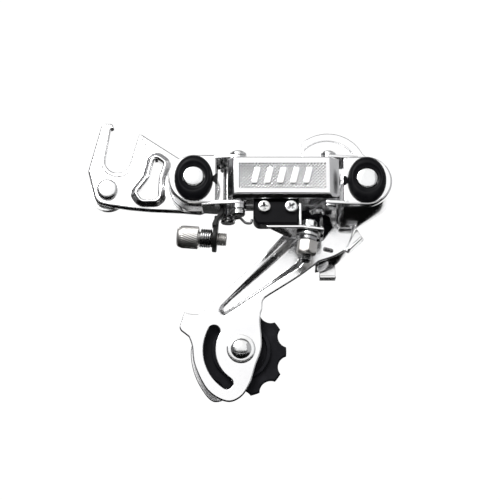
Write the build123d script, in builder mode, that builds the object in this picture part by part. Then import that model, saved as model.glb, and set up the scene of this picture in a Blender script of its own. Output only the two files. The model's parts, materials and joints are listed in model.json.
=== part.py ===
from build123d import *
import os

# Rear bicycle derailleur with a bolt-on hanger plate, in millimetres.
# X is forward along the bicycle, Y is inboard towards the wheel, Z is up.
# The origin is the centre of the axle slot, on the hanger's inboard face.

# Hanger plate
plate_t = 4.0
slot_r = 6.1
lip_h = 2.2
fix_x, fix_z = -4.7, -15.3

# The two pivot axes that lie along Y
upper_x, upper_z = 38.1, -15.1
lower_x, lower_z = 120.9, -16.0
pivot_r = 5.0
run_gap = 0.05
knuckle_front = -21.0
knuckle_rear = -plate_t - 0.3
knuckle_r = 12.2
cap_front = -25.4

# The four parallelogram pins that lie along Z
link_length = 43.5
outer_pin_x, outer_pin_y = 59.3, -18.5
inner_pin_x, inner_pin_y = 54.4, -7.2
pin_r = 2.5
arm_top_low, arm_top_high = -4.9, -3.3
arm_low_low, arm_low_high = -28.0, -26.2
flange_top = -5.2
flange_low = -25.9
sheet = 1.5

# Cage and pulleys
guide_x, guide_z = 103.6, -15.6
tension_x, tension_z = 60.8, -93.6
cage_front = 1.0
cage_t = 1.8
pulley_mid = 8.0
inner_plate_front = 13.2
inner_plate_t = 1.6
teeth = 10
chain_pitch = 12.7
valley_r = 5.5
tip_r = 21.8

# Cable side
cable_y = -12.0
cable_z = -42.6
anchor_x, anchor_y = 93.4, -14.0
anchor_tilt = 7.0
foot_low, foot_high = -39.4, -37.9

os.makedirs("parts", exist_ok=True)


def face_at(y):
    """A plane facing outboard at depth y, with X to the right and Z up."""
    return Plane.XZ.offset(-y)


def save(builder, name):
    builder.part.label = name
    export_step(builder.part, "parts/" + name + ".step")


# ---------------------------------------------------------------- hanger plate
with BuildPart() as hanger_plate:
    with BuildSketch(face_at(0)) as outline:
        with BuildLine():
            Polyline((11.6, 13.8), (30.8, 1.0), (40.5, -2.4))
            ThreePointArc((40.5, -2.4), (50.6, -15.1), (40.8, -27.3))
            Spline((40.8, -27.3), (31.0, -26.5), (16.7, -25.9), (7.0, -25.0), (-4.6, -23.2))
            ThreePointArc((-4.6, -23.2), (-9.3, -21.4), (-11.8, -17.2))
            Polyline((-11.8, -17.2), (-14.6, -6.6), (-14.7, -4.4), (-8.9, 17.6))
            ThreePointArc((-8.9, 17.6), (-5.6, 19.6), (-2.3, 16.6))
            Polyline((-2.3, 16.6), (-4.0, 15.2), (-6.05, 0.8))
            ThreePointArc((-6.05, 0.8), (0.6, -6.07), (6.0, -1.1))
            Polyline((6.0, -1.1), (9.9, 13.2), (11.6, 13.8))
        make_face()
    extrude(amount=plate_t)
    corner = hanger_plate.edges().filter_by(Axis.Y).sort_by_distance((11.0, 0, 13.6))[:2]
    fillet(corner, radius=0.7)
    # The pressed lip that stands proud round the triangular window
    with BuildSketch(face_at(-plate_t)):
        with BuildLine():
            Polyline((16.8, 0.6), (19.4, 2.9), (24.3, -1.4), (22.2, -9.0), (21.7, -21.0))
            Polyline((21.7, -21.0), (19.6, -22.2), (12.9, -22.4), (8.7, -19.0), (8.9, -16.2))
            Polyline((8.9, -16.2), (13.6, -9.0), (16.8, 0.6))
        make_face()
    extrude(amount=lip_h)
    lip_top = hanger_plate.faces().filter_by(Axis.Y).sort_by(Axis.Y)[0]
    chamfer(lip_top.edges(), length=1.25)
    with BuildSketch(face_at(1.0)):
        with BuildLine():
            Polyline((18.3, -0.6), (19.4, 0.4), (22.0, -2.2), (20.3, -9.4), (19.9, -18.9))
            Polyline((19.9, -18.9), (18.6, -20.1), (13.6, -20.2), (10.9, -17.9), (11.0, -16.7))
            Polyline((11.0, -16.7), (15.6, -9.3), (18.3, -0.6))
        make_face()
    extrude(amount=plate_t + lip_h + 2.0, mode=Mode.SUBTRACT)
    window = hanger_plate.edges().filter_by(Axis.Y).filter_by_position(Axis.X, 10.5, 22.5)
    window = window.filter_by_position(Axis.Z, -20.5, 1.0)
    fillet(window, radius=0.6)
    with BuildSketch(face_at(0)):
        with Locations((fix_x, fix_z)):
            Circle(3.05)
        with Locations((upper_x, upper_z)):
            Circle(pivot_r)
    extrude(amount=plate_t, mode=Mode.SUBTRACT)
    # A shallow land pressed round the mouth of the slot
    with BuildSketch(face_at(-plate_t)):
        with Locations((0, 0)):
            Circle(slot_r + 2.0)
        with Locations(Location((1.6, 9.0, 0), -12)):
            Rectangle(2 * slot_r + 4.0, 18.5)
    extrude(amount=-0.35, mode=Mode.SUBTRACT)
save(hanger_plate, "hanger_plate")

with BuildPart() as hanger_bolt:
    with BuildSketch(face_at(-plate_t)):
        with Locations((fix_x, fix_z)):
            Circle(5.1)
    extrude(amount=2.6)
    fillet(hanger_bolt.edges().sort_by(Axis.Y)[0], radius=0.7)
    with BuildSketch(face_at(4.2)):
        with Locations((fix_x, fix_z)):
            Circle(2.95)
    extrude(amount=4.2 + plate_t)
    # The head is plain, so the screwdriver slot is in the tail
    with BuildSketch(face_at(4.2)):
        with Locations((fix_x, fix_z)):
            Rectangle(6.5, 1.2)
    extrude(amount=1.0, mode=Mode.SUBTRACT)
save(hanger_bolt, "hanger_bolt")

with BuildPart() as hanger_nut:
    with BuildSketch(face_at(3.8)):
        with Locations((fix_x, fix_z)):
            Circle(9.2)
        with Locations((fix_x, fix_z + 11.0)):
            Rectangle(22.0, 10.0, mode=Mode.SUBTRACT)
        with Locations((fix_x, fix_z)):
            Circle(3.0, mode=Mode.SUBTRACT)
    extrude(amount=3.8)
    chamfer(hanger_nut.faces().sort_by(Axis.Y)[-1].outer_wire().edges(), length=0.5)
save(hanger_nut, "hanger_nut")

# ---------------------------------------------------------------- upper pivot
with BuildPart() as upper_bolt:
    with BuildSketch(face_at(3.9)):
        with Locations((upper_x, upper_z)):
            Circle(pivot_r)
    extrude(amount=3.9 - cap_front - 0.6)
    fillet(upper_bolt.edges().sort_by(Axis.Y)[0], radius=0.6)
    with BuildSketch(face_at(cap_front + 0.6)):
        with Locations((upper_x, upper_z)):
            Circle(1.1)
    extrude(amount=-0.5, mode=Mode.SUBTRACT)
save(upper_bolt, "upper_bolt")

with BuildPart() as upper_nut:
    with BuildSketch(face_at(3.4)):
        with Locations((upper_x, upper_z)):
            RegularPolygon(radius=8.6, side_count=6)
            Circle(pivot_r, mode=Mode.SUBTRACT)
    extrude(amount=3.4)
    chamfer(upper_nut.faces().sort_by(Axis.Y)[-1].outer_wire().edges(), length=0.5)
save(upper_nut, "upper_nut")


def knuckle_front_shape(x, z, edge_x, inset):
    """Round one side, square the other: the section shared by both knuckles."""
    radius = knuckle_r - inset
    width = abs(edge_x - x)
    middle = (edge_x + x) / 2
    with Locations((x, z)):
        Circle(radius)
    with Locations((middle, z)):
        Rectangle(width, 2 * radius)


def pin_arms(pin_a, pin_b, root_x, bottom, top):
    """One flat arm that reaches from a knuckle to its pair of pins."""
    reach = -1 if root_x > pin_a[0] else 1
    with BuildSketch(Plane.XY.offset(bottom)) as shape:
        with Locations(pin_a, pin_b):
            Circle(4.0)
        with Locations((root_x - reach * 3.0, -13.3)):
            Rectangle(6.0, 15.0)
        make_hull()
        with Locations(pin_a, pin_b):
            Circle(pin_r + 0.02, mode=Mode.SUBTRACT)
    extrude(shape.sketch, amount=top - bottom)


upper_edge = 49.2
with BuildPart() as upper_knuckle:
    with BuildSketch(face_at(-16.6)):
        knuckle_front_shape(upper_x, upper_z, upper_edge, 0)
    extrude(amount=-16.6 - knuckle_front)
    with BuildSketch(face_at(-8.4)):
        knuckle_front_shape(upper_x, upper_z, upper_edge, 1.1)
    extrude(amount=8.2)
    with BuildSketch(face_at(knuckle_rear)):
        knuckle_front_shape(upper_x, upper_z, upper_edge, -0.2)
    extrude(amount=4.1)
    rim = upper_knuckle.faces().filter_by(Axis.Y).sort_by(Axis.Y)[0]
    fillet(rim.outer_wire().edges(), radius=0.9)
    for bottom, top in ((arm_top_low, arm_top_high), (arm_low_low, arm_low_high)):
        pin_arms((outer_pin_x, outer_pin_y), (inner_pin_x, inner_pin_y), upper_edge, bottom, top)
    with BuildSketch(face_at(0)):
        with Locations((upper_x, upper_z)):
            Circle(pivot_r + run_gap)
    extrude(amount=30, mode=Mode.SUBTRACT)
    # Chamber for the coil spring
    with BuildSketch(face_at(-6.4)):
        with Locations((upper_x, upper_z)):
            Circle(9.4)
    extrude(amount=10.8, mode=Mode.SUBTRACT)
save(upper_knuckle, "upper_knuckle")


def round_cap(x, z):
    """A black plastic cap: an oval dome, taller than it is wide, with a stepped round mouth."""
    with BuildSketch(face_at(knuckle_front)) as shape:
        with Locations((x, z)):
            Ellipse(9.4, 11.3)
    extrude(shape.sketch, amount=knuckle_front - cap_front)
    front = Plane.XZ.offset(-cap_front)
    with BuildSketch(front) as shape:
        with Locations((x, z)):
            Circle(7.3)
    extrude(shape.sketch, amount=-0.7, mode=Mode.SUBTRACT)
    with BuildSketch(front) as shape:
        with Locations((x, z)):
            Circle(5.3)
    extrude(shape.sketch, amount=-4.4, mode=Mode.SUBTRACT)


with BuildPart() as upper_cap:
    round_cap(upper_x, upper_z)
    shoulder = upper_cap.edges().filter_by(GeomType.ELLIPSE).sort_by(Axis.Y)[0]
    fillet(shoulder, radius=1.4)
save(upper_cap, "upper_cap")

with BuildPart() as upper_spring:
    with BuildLine() as coil:
        Helix(pitch=2.3, height=8.2, radius=7.3, center=(upper_x, -15.6, upper_z), direction=(0, 1, 0))
    with BuildSketch(Plane(origin=coil.line @ 0, z_dir=coil.line % 0)):
        Circle(0.9)
    sweep(is_frenet=True)
save(upper_spring, "upper_spring")

# ---------------------------------------------------------------- link pins


def link_pin(x, y, head_r, head_top, tail_r, tail_low):
    """A riveted pin: domed head above the upper arm, flat tail below the lower arm."""
    with BuildSketch(Plane.XY.offset(tail_low + 0.5)) as shape:
        with Locations((x, y)):
            Circle(pin_r)
    extrude(shape.sketch, amount=head_top - tail_low - 1.0)
    with BuildSketch(Plane.XY.offset(arm_top_high)) as shape:
        with Locations((x, y)):
            Circle(head_r)
    extrude(shape.sketch, amount=head_top - arm_top_high)


def pin_tail(x, y, radius, low, high):
    with BuildSketch(Plane.XY.offset(low)) as shape:
        with Locations((x, y)):
            Circle(radius)
    extrude(shape.sketch, amount=high - low)


with BuildPart() as upper_outer_pin:
    link_pin(outer_pin_x, outer_pin_y, 4.2, -0.3, 3.9, -33.0)
    fillet(upper_outer_pin.edges().sort_by(Axis.Z)[-1], radius=1.6)
    pin_tail(outer_pin_x, outer_pin_y, 3.9, -30.2, arm_low_low)
    pin_tail(outer_pin_x, outer_pin_y, 3.0, -30.7, -30.2)
    pin_tail(outer_pin_x, outer_pin_y, 3.5, -33.0, -30.7)
    chamfer(upper_outer_pin.edges().sort_by(Axis.Z)[0], length=0.5)
save(upper_outer_pin, "upper_outer_pin")

with BuildPart() as upper_inner_pin:
    link_pin(inner_pin_x, inner_pin_y, 3.8, -1.2, 3.6, -33.4)
    fillet(upper_inner_pin.edges().sort_by(Axis.Z)[-1], radius=1.2)
    pin_tail(inner_pin_x, inner_pin_y, 3.6, -33.4, -32.1)
    chamfer(upper_inner_pin.edges().sort_by(Axis.Z)[0], length=0.4)
save(upper_inner_pin, "upper_inner_pin")

with BuildPart() as lower_outer_pin:
    link_pin(outer_pin_x + link_length, outer_pin_y, 3.8, -0.3, 3.4, -29.3)
    fillet(lower_outer_pin.edges().sort_by(Axis.Z)[-1], radius=1.6)
    pin_tail(outer_pin_x + link_length, outer_pin_y, 3.4, -29.3, arm_low_low)
    chamfer(lower_outer_pin.edges().sort_by(Axis.Z)[0], length=0.6)
save(lower_outer_pin, "lower_outer_pin")

with BuildPart() as lower_inner_pin:
    link_pin(inner_pin_x + link_length, inner_pin_y, 3.6, -1.2, 3.4, -29.3)
    fillet(lower_inner_pin.edges().sort_by(Axis.Z)[-1], radius=1.2)
    pin_tail(inner_pin_x + link_length, inner_pin_y, 3.4, -29.3, arm_low_low)
    chamfer(lower_inner_pin.edges().sort_by(Axis.Z)[0], length=0.6)
save(lower_inner_pin, "lower_inner_pin")

# ---------------------------------------------------------------- the two links
far_outer_x = outer_pin_x + link_length
far_inner_x = inner_pin_x + link_length
with BuildPart() as outer_link:
    with BuildSketch(Plane.XY.offset(flange_low)):
        with BuildLine():
            Polyline((54.3, -21.9), (57.2, -25.0), (103.4, -25.0), (107.6, -21.9))
            Polyline((107.6, -21.9), (107.2, -18.5))
            RadiusArc((107.2, -18.5), (far_outer_x, -14.1), -4.4)
            Polyline((far_outer_x, -14.1), (outer_pin_x, -14.1))
            RadiusArc((outer_pin_x, -14.1), (54.9, -18.5), -4.4)
            Polyline((54.9, -18.5), (54.3, -21.9))
        make_face()
    extrude(amount=flange_top - flange_low)
    front = outer_link.faces().filter_by(Axis.Y).sort_by(Axis.Y)[0]
    long_edges = front.edges().filter_by(Axis.X).sort_by(Axis.Z)
    chamfer(long_edges[0], length=1.3, length2=2.4, reference=front)
    chamfer(long_edges[-1], length=0.8)
    # Hollow it from the back, open at both ends
    with BuildSketch(Plane.XY.offset(flange_low + sheet)):
        with BuildLine():
            Polyline((52.0, -17.9), (57.9, -23.3), (102.9, -23.3), (110.0, -18.1))
            Polyline((110.0, -18.1), (110.0, -10.0), (52.0, -10.0), (52.0, -17.9))
        make_face()
    extrude(amount=flange_top - flange_low - 2 * sheet, mode=Mode.SUBTRACT)
    with BuildSketch(Plane.XY.offset(flange_low)):
        with Locations((outer_pin_x, outer_pin_y), (far_outer_x, outer_pin_y)):
            Circle(pin_r + 0.06)
    extrude(amount=flange_top - flange_low, mode=Mode.SUBTRACT)
    # The raised field on the face, with plain slanted bars in relief
    with BuildSketch(face_at(-25.0)):
        with Locations((80.4, -14.9)):
            Rectangle(42.4, 14.0)
    extrude(amount=0.3)
    with BuildSketch(face_at(-25.3)):
        for step in range(5):
            with Locations(Location((68.0 + 6.2 * step, -14.9, 0), -14)):
                SlotOverall(8.6, 2.6, rotation=90)
    extrude(amount=0.4)
save(outer_link, "outer_link")

with BuildPart() as inner_link:
    with BuildSketch(Plane.XY.offset(flange_low)):
        with Locations((inner_pin_x, inner_pin_y), (far_inner_x, inner_pin_y)):
            Circle(4.0)
        make_hull()
        with Locations((inner_pin_x, inner_pin_y), (far_inner_x, inner_pin_y)):
            Circle(pin_r + 0.06, mode=Mode.SUBTRACT)
    extrude(amount=flange_top - flange_low)
    with BuildSketch(Plane.XY.offset(flange_low + sheet)):
        with Locations((76.15, -10.0)):
            Rectangle(60.0, 10.6)
        with Locations((52.6, -7.0), (99.7, -7.0)):
            Rectangle(13.6, 12.0)
    extrude(amount=flange_top - flange_low - 2 * sheet, mode=Mode.SUBTRACT)
    # Lightening hole in the web
    with BuildSketch(face_at(0)):
        with Locations((76.15, -15.5)):
            SlotOverall(18.0, 7.0)
    extrude(amount=12.0, mode=Mode.SUBTRACT)
save(inner_link, "inner_link")

with BuildPart() as return_spring:
    with BuildLine() as wire:
        Helix(pitch=1.5, height=2.4, radius=3.5, center=(inner_pin_x, inner_pin_y, -31.3))
    with BuildSketch(Plane(origin=wire.line @ 0, z_dir=wire.line % 0)):
        Circle(0.65)
    sweep(is_frenet=True)
    start = wire.line @ 0
    with BuildLine() as leg:
        lead = Line(start, start + Vector(0.0, -1.5, 0.0))
        Spline(
            lead @ 1,
            (60.4, -10.4, -31.6),
            (62.8, -10.4, -34.0),
            (65.4, -10.4, -34.2),
            (66.0, -10.4, -32.6),
            tangents=((0, -1, 0), (-0.2, 0, 1)),
        )
    with BuildSketch(Plane(origin=leg.line @ 0, z_dir=leg.line % 0)):
        Circle(0.65)
    sweep(transition=Transition.ROUND)
save(return_spring, "return_spring")

# ---------------------------------------------------------------- lower knuckle
lower_edge = 109.9
with BuildPart() as lower_knuckle:
    with BuildSketch(face_at(-16.6)):
        knuckle_front_shape(lower_x, lower_z, lower_edge, 0)
    extrude(amount=-16.6 - knuckle_front)
    with BuildSketch(face_at(-12.0)):
        knuckle_front_shape(lower_x, lower_z, lower_edge, 1.1)
    extrude(amount=4.6)
    with BuildSketch(face_at(0.5)) as housing:
        with Locations((lower_x, lower_z)):
            Circle(13.4)
        with Locations((113.2, -26.4)):
            RectangleRounded(12.6, 15.6, 3.4)
        make_hull()
    extrude(amount=12.5)
    rim = lower_knuckle.faces().filter_by(Axis.Y).sort_by(Axis.Y)[0]
    fillet(rim.outer_wire().edges(), radius=0.9)
    back = lower_knuckle.faces().filter_by(Axis.Y).sort_by(Axis.Y)[-1]
    fillet(back.outer_wire().edges(), radius=1.0)
    for bottom, top in ((arm_top_low, arm_top_high), (arm_low_low, arm_low_high)):
        pin_arms((far_outer_x, outer_pin_y), (far_inner_x, inner_pin_y), lower_edge, bottom, top)
    with BuildSketch(face_at(4)):
        with Locations((lower_x, lower_z)):
            Circle(pivot_r + run_gap)
    extrude(amount=30, mode=Mode.SUBTRACT)
    with BuildSketch(face_at(-1.2)):
        with Locations((lower_x, lower_z)):
            Circle(10.4)
    extrude(amount=10.0, mode=Mode.SUBTRACT)
    # Keyhole notch in the square edge of the front plate
    with BuildSketch(face_at(-19.0)):
        with Locations((lower_edge, -17.0)):
            SlotOverall(3.6, 3.0)
    extrude(amount=3.0, mode=Mode.SUBTRACT)
save(lower_knuckle, "lower_knuckle")

with BuildPart() as lower_cap:
    round_cap(lower_x, lower_z)
    shoulder = lower_cap.edges().filter_by(GeomType.ELLIPSE).sort_by(Axis.Y)[0]
    fillet(shoulder, radius=1.4)
save(lower_cap, "lower_cap")

with BuildPart() as lower_spring:
    with BuildLine() as coil:
        Helix(pitch=2.3, height=7.0, radius=8.0, center=(lower_x, -10.0, lower_z), direction=(0, 1, 0))
    with BuildSketch(Plane(origin=coil.line @ 0, z_dir=coil.line % 0)):
        Circle(1.0)
    sweep(is_frenet=True)
save(lower_spring, "lower_spring")

with BuildPart() as cage_shaft:
    with BuildSketch(face_at(cage_front + cage_t)):
        with Locations((lower_x, lower_z)):
            Circle(pivot_r)
    extrude(amount=cage_front + cage_t - cap_front - 0.6)
    fillet(cage_shaft.edges().sort_by(Axis.Y)[0], radius=0.6)
    with BuildSketch(face_at(cap_front + 0.6)):
        with Locations((lower_x, lower_z)):
            Circle(1.1)
    extrude(amount=-0.5, mode=Mode.SUBTRACT)
    with BuildSketch(face_at(cage_front + cage_t + 1.0)):
        with Locations((lower_x, lower_z)):
            Circle(6.2)
    extrude(amount=1.0)
save(cage_shaft, "cage_shaft")

# ---------------------------------------------------------------- cable side
tilt = 4.0
cable_line = Vector(-1, 0, 0).rotate(Axis.Y, tilt)
cable_axis = Plane(origin=(47.2, cable_y, cable_z), x_dir=(0, 1, 0), z_dir=cable_line)

with BuildPart() as adjuster_bracket:
    with BuildSketch(cable_axis):
        Circle(6.6)
        with Locations((-2.0, -6.0)):
            Rectangle(6.0, 12.0)
    extrude(amount=-2.2)
    with BuildSketch(face_at(-12.2)):
        with BuildLine():
            Polyline((47.2, -38.0), (49.4, -38.0), (52.6, -31.6), (52.6, -28.05))
            Polyline((52.6, -28.05), (50.3, -28.05), (50.3, -31.0))
            Polyline((50.3, -31.0), (47.2, -36.8), (47.2, -38.0))
        make_face()
    extrude(amount=4.8)
    with BuildSketch(cable_axis):
        Circle(3.25)
    extrude(amount=-4.0, mode=Mode.SUBTRACT)
save(adjuster_bracket, "adjuster_bracket")

with BuildPart() as adjuster_barrel:
    with BuildSketch(cable_axis.offset(6.6)):
        Circle(5.5)
        with PolarLocations(5.5, 30):
            Circle(0.28, mode=Mode.SUBTRACT)
    extrude(amount=10.6)
    with BuildSketch(cable_axis.offset(-6.6)):
        Circle(3.15)
    extrude(amount=13.4)
    with BuildSketch(cable_axis.offset(17.2)):
        Circle(2.6)
    extrude(amount=-9.0, mode=Mode.SUBTRACT)
    with BuildSketch(cable_axis.offset(17.2)):
        Circle(1.1)
    extrude(amount=-30.0, mode=Mode.SUBTRACT)
save(adjuster_barrel, "adjuster_barrel")

with BuildPart() as adjuster_spring:
    with BuildLine() as coil:
        Helix(
            pitch=1.02,
            height=5.2,
            radius=4.1,
            center=cable_axis.origin + cable_axis.z_dir * 0.7,
            direction=cable_axis.z_dir,
        )
    with BuildSketch(Plane(origin=coil.line @ 0, z_dir=coil.line % 0)):
        Circle(0.46)
    sweep(is_frenet=True)
save(adjuster_spring, "adjuster_spring")

with BuildPart() as limit_block:
    with BuildSketch(face_at(-12.0)):
        with BuildLine():
            Polyline((66.6, -25.95), (88.2, -25.95), (88.2, -37.85), (70.2, -37.85))
            ThreePointArc((70.2, -37.85), (67.6, -36.8), (66.6, -34.2))
            Polyline((66.6, -34.2), (66.6, -25.95))
        make_face()
    extrude(amount=9.0)
    front = limit_block.faces().filter_by(Axis.Y).sort_by(Axis.Y)[0]
    chamfer(front.edges(), length=0.5)
    with BuildSketch(face_at(-12.0)):
        with Locations((71.8, -29.5), (84.6, -29.5)):
            Circle(1.52)
    extrude(amount=9.0, mode=Mode.SUBTRACT)
save(limit_block, "limit_block")


def limit_screw(x, z):
    """A small cross-head screw whose point reaches inboard of the block."""
    with BuildSketch(face_at(-6.4)) as shape:
        with Locations((x, z)):
            Circle(1.5)
    extrude(shape.sketch, amount=15.0)
    with BuildSketch(face_at(-21.1)) as shape:
        with Locations((x, z)):
            Circle(3.1)
    extrude(shape.sketch, amount=2.0)


with BuildPart() as limit_screw_high:
    limit_screw(71.8, -29.5)
    fillet(limit_screw_high.edges().sort_by(Axis.Y)[0], radius=0.7)
    with BuildSketch(face_at(-23.1)):
        with Locations((71.8, -29.5)):
            Rectangle(3.8, 0.8)
            Rectangle(0.8, 3.8)
    extrude(amount=-1.0, mode=Mode.SUBTRACT)
save(limit_screw_high, "limit_screw_high")

with BuildPart() as limit_screw_low:
    limit_screw(84.6, -29.5)
    fillet(limit_screw_low.edges().sort_by(Axis.Y)[0], radius=0.7)
    with BuildSketch(face_at(-23.1)):
        with Locations(Location((84.6, -29.5, 0), 35)):
            Rectangle(3.8, 0.8)
            Rectangle(0.8, 3.8)
    extrude(amount=-1.0, mode=Mode.SUBTRACT)
save(limit_screw_low, "limit_screw_low")

# The anchor bolt leans a little, so its foot plate dips at the right
stack = Plane(origin=(anchor_x, anchor_y, foot_high), x_dir=(1, 0, 0), z_dir=(0, 0, 1))
stack = stack.rotated((0, anchor_tilt, 0))
drop = 10.4 * 0.1228

with BuildPart() as cable_arm:
    with BuildSketch(face_at(-5.0)):
        with BuildLine():
            Polyline((72.8, foot_low), (72.8, foot_high), (anchor_x - 3.8, foot_high))
            Polyline((anchor_x - 3.8, foot_high), (100.2, foot_high - drop * 0.66 - 0.5))
            Polyline((100.2, foot_high - drop * 0.66 - 0.5), (100.2, foot_low - drop * 0.66 - 0.5))
            Polyline((100.2, foot_low - drop * 0.66 - 0.5), (anchor_x - 3.9, foot_low))
            Polyline((anchor_x - 3.9, foot_low), (72.8, foot_low))
        make_face()
    extrude(amount=15.0)
    with BuildSketch(Plane.XY.offset(-43.0)):
        with BuildLine():
            Polyline((70.0, -21.0), (72.8, -20.0), (82.0, -6.4), (83.0, -4.0), (70.0, -4.0))
            Polyline((70.0, -4.0), (70.0, -21.0))
        make_face()
    extrude(amount=8.0, mode=Mode.SUBTRACT)
    with BuildSketch(Plane.YZ.offset(89.6)):
        with BuildLine():
            Polyline((-20.0, -38.0), (-20.0, -25.95), (-14.8, -25.95), (-10.0, -33.0))
            Polyline((-10.0, -33.0), (-8.0, -38.0), (-20.0, -38.0))
        make_face()
    extrude(amount=-1.3)
    with BuildSketch(Plane.YZ.offset(100.2)):
        with BuildLine():
            Polyline((-14.0, -39.8), (-12.0, -33.4), (-9.0, -30.6), (-5.0, -30.6))
            Polyline((-5.0, -30.6), (-5.0, -41.6), (-11.0, -41.6), (-14.0, -39.8))
        make_face()
    extrude(amount=-1.5)
    with BuildSketch(stack.offset(-6.0)):
        Circle(2.55)
    extrude(amount=10.0, mode=Mode.SUBTRACT)
save(cable_arm, "cable_arm")


def ring(low, high, outer, inner):
    """A flat ring on the leaning bolt, between two heights along it."""
    with BuildSketch(stack.offset(low)) as shape:
        Circle(outer)
        Circle(inner, mode=Mode.SUBTRACT)
    extrude(shape.sketch, amount=high - low)


with BuildPart() as anchor_bolt:
    with BuildSketch(stack.offset(0.75)):
        RegularPolygon(radius=3.6, side_count=6)
    extrude(amount=3.0)
    with BuildSketch(stack.offset(-16.9)):
        Circle(2.5)
    extrude(amount=17.7)
    tip = anchor_bolt.edges().filter_by(GeomType.CIRCLE).sort_by(Axis.Z)[0]
    chamfer(tip, length=0.6)
save(anchor_bolt, "anchor_bolt")

with BuildPart() as anchor_washer:
    ring(0.03, 0.73, 3.6, 2.55)
save(anchor_washer, "anchor_washer")

with BuildPart() as cable_clamp_plate:
    ring(-4.4, -2.4, 4.7, 2.55)
    with BuildSketch(stack.offset(-4.4)):
        with Locations((4.6, 0.0)):
            Rectangle(2.4, 4.6)
    extrude(amount=2.0)
    # Groove that the cable lies in
    with BuildSketch(Plane(stack.offset(-2.4).origin, x_dir=(0, 1, 0), z_dir=stack.x_dir)):
        with Locations((-3.3, 0.0)):
            Circle(0.8)
    extrude(amount=9.0, both=True, mode=Mode.SUBTRACT)
save(cable_clamp_plate, "cable_clamp_plate")

with BuildPart() as lock_washer:
    ring(-6.5, -4.45, 4.2, 2.55)
    with BuildSketch(stack.offset(-6.6)):
        with Locations((-3.4, -0.6)):
            Rectangle(3.0, 0.6)
    extrude(amount=2.14, mode=Mode.SUBTRACT)
save(lock_washer, "lock_washer")

with BuildPart() as anchor_nut:
    with BuildSketch(stack.offset(-13.2)):
        RegularPolygon(radius=5.2, side_count=6, rotation=12)
        Circle(2.55, mode=Mode.SUBTRACT)
    extrude(amount=6.6)
    chamfer(anchor_nut.faces().sort_by(Axis.Z)[0].outer_wire().edges(), length=0.6)
    chamfer(anchor_nut.faces().sort_by(Axis.Z)[-1].outer_wire().edges(), length=0.5)
save(anchor_nut, "anchor_nut")

# ---------------------------------------------------------------- cage plates
valley_depth = 1.3


def curved_window(half):
    """A slot that follows part of a circle about the tension pulley."""
    centre = Vector(65.0, -94.0)
    radius = 19.5
    first, sweep_deg = 152, 84
    with BuildLine() as border:
        outside = CenterArc(centre, radius + half, first, sweep_deg)
        inside = CenterArc(centre, radius - half, first, sweep_deg)
        for a, b in ((outside @ 0, inside @ 0), (outside @ 1, inside @ 1)):
            spoke = (a + b) / 2 - centre
            turn = 90 if a == outside @ 1 else -90
            push = spoke.normalized().rotate(Axis.Z, turn) * half
            ThreePointArc(a, (a + b) / 2 + push, b)
    make_face(border.edges())


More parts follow.
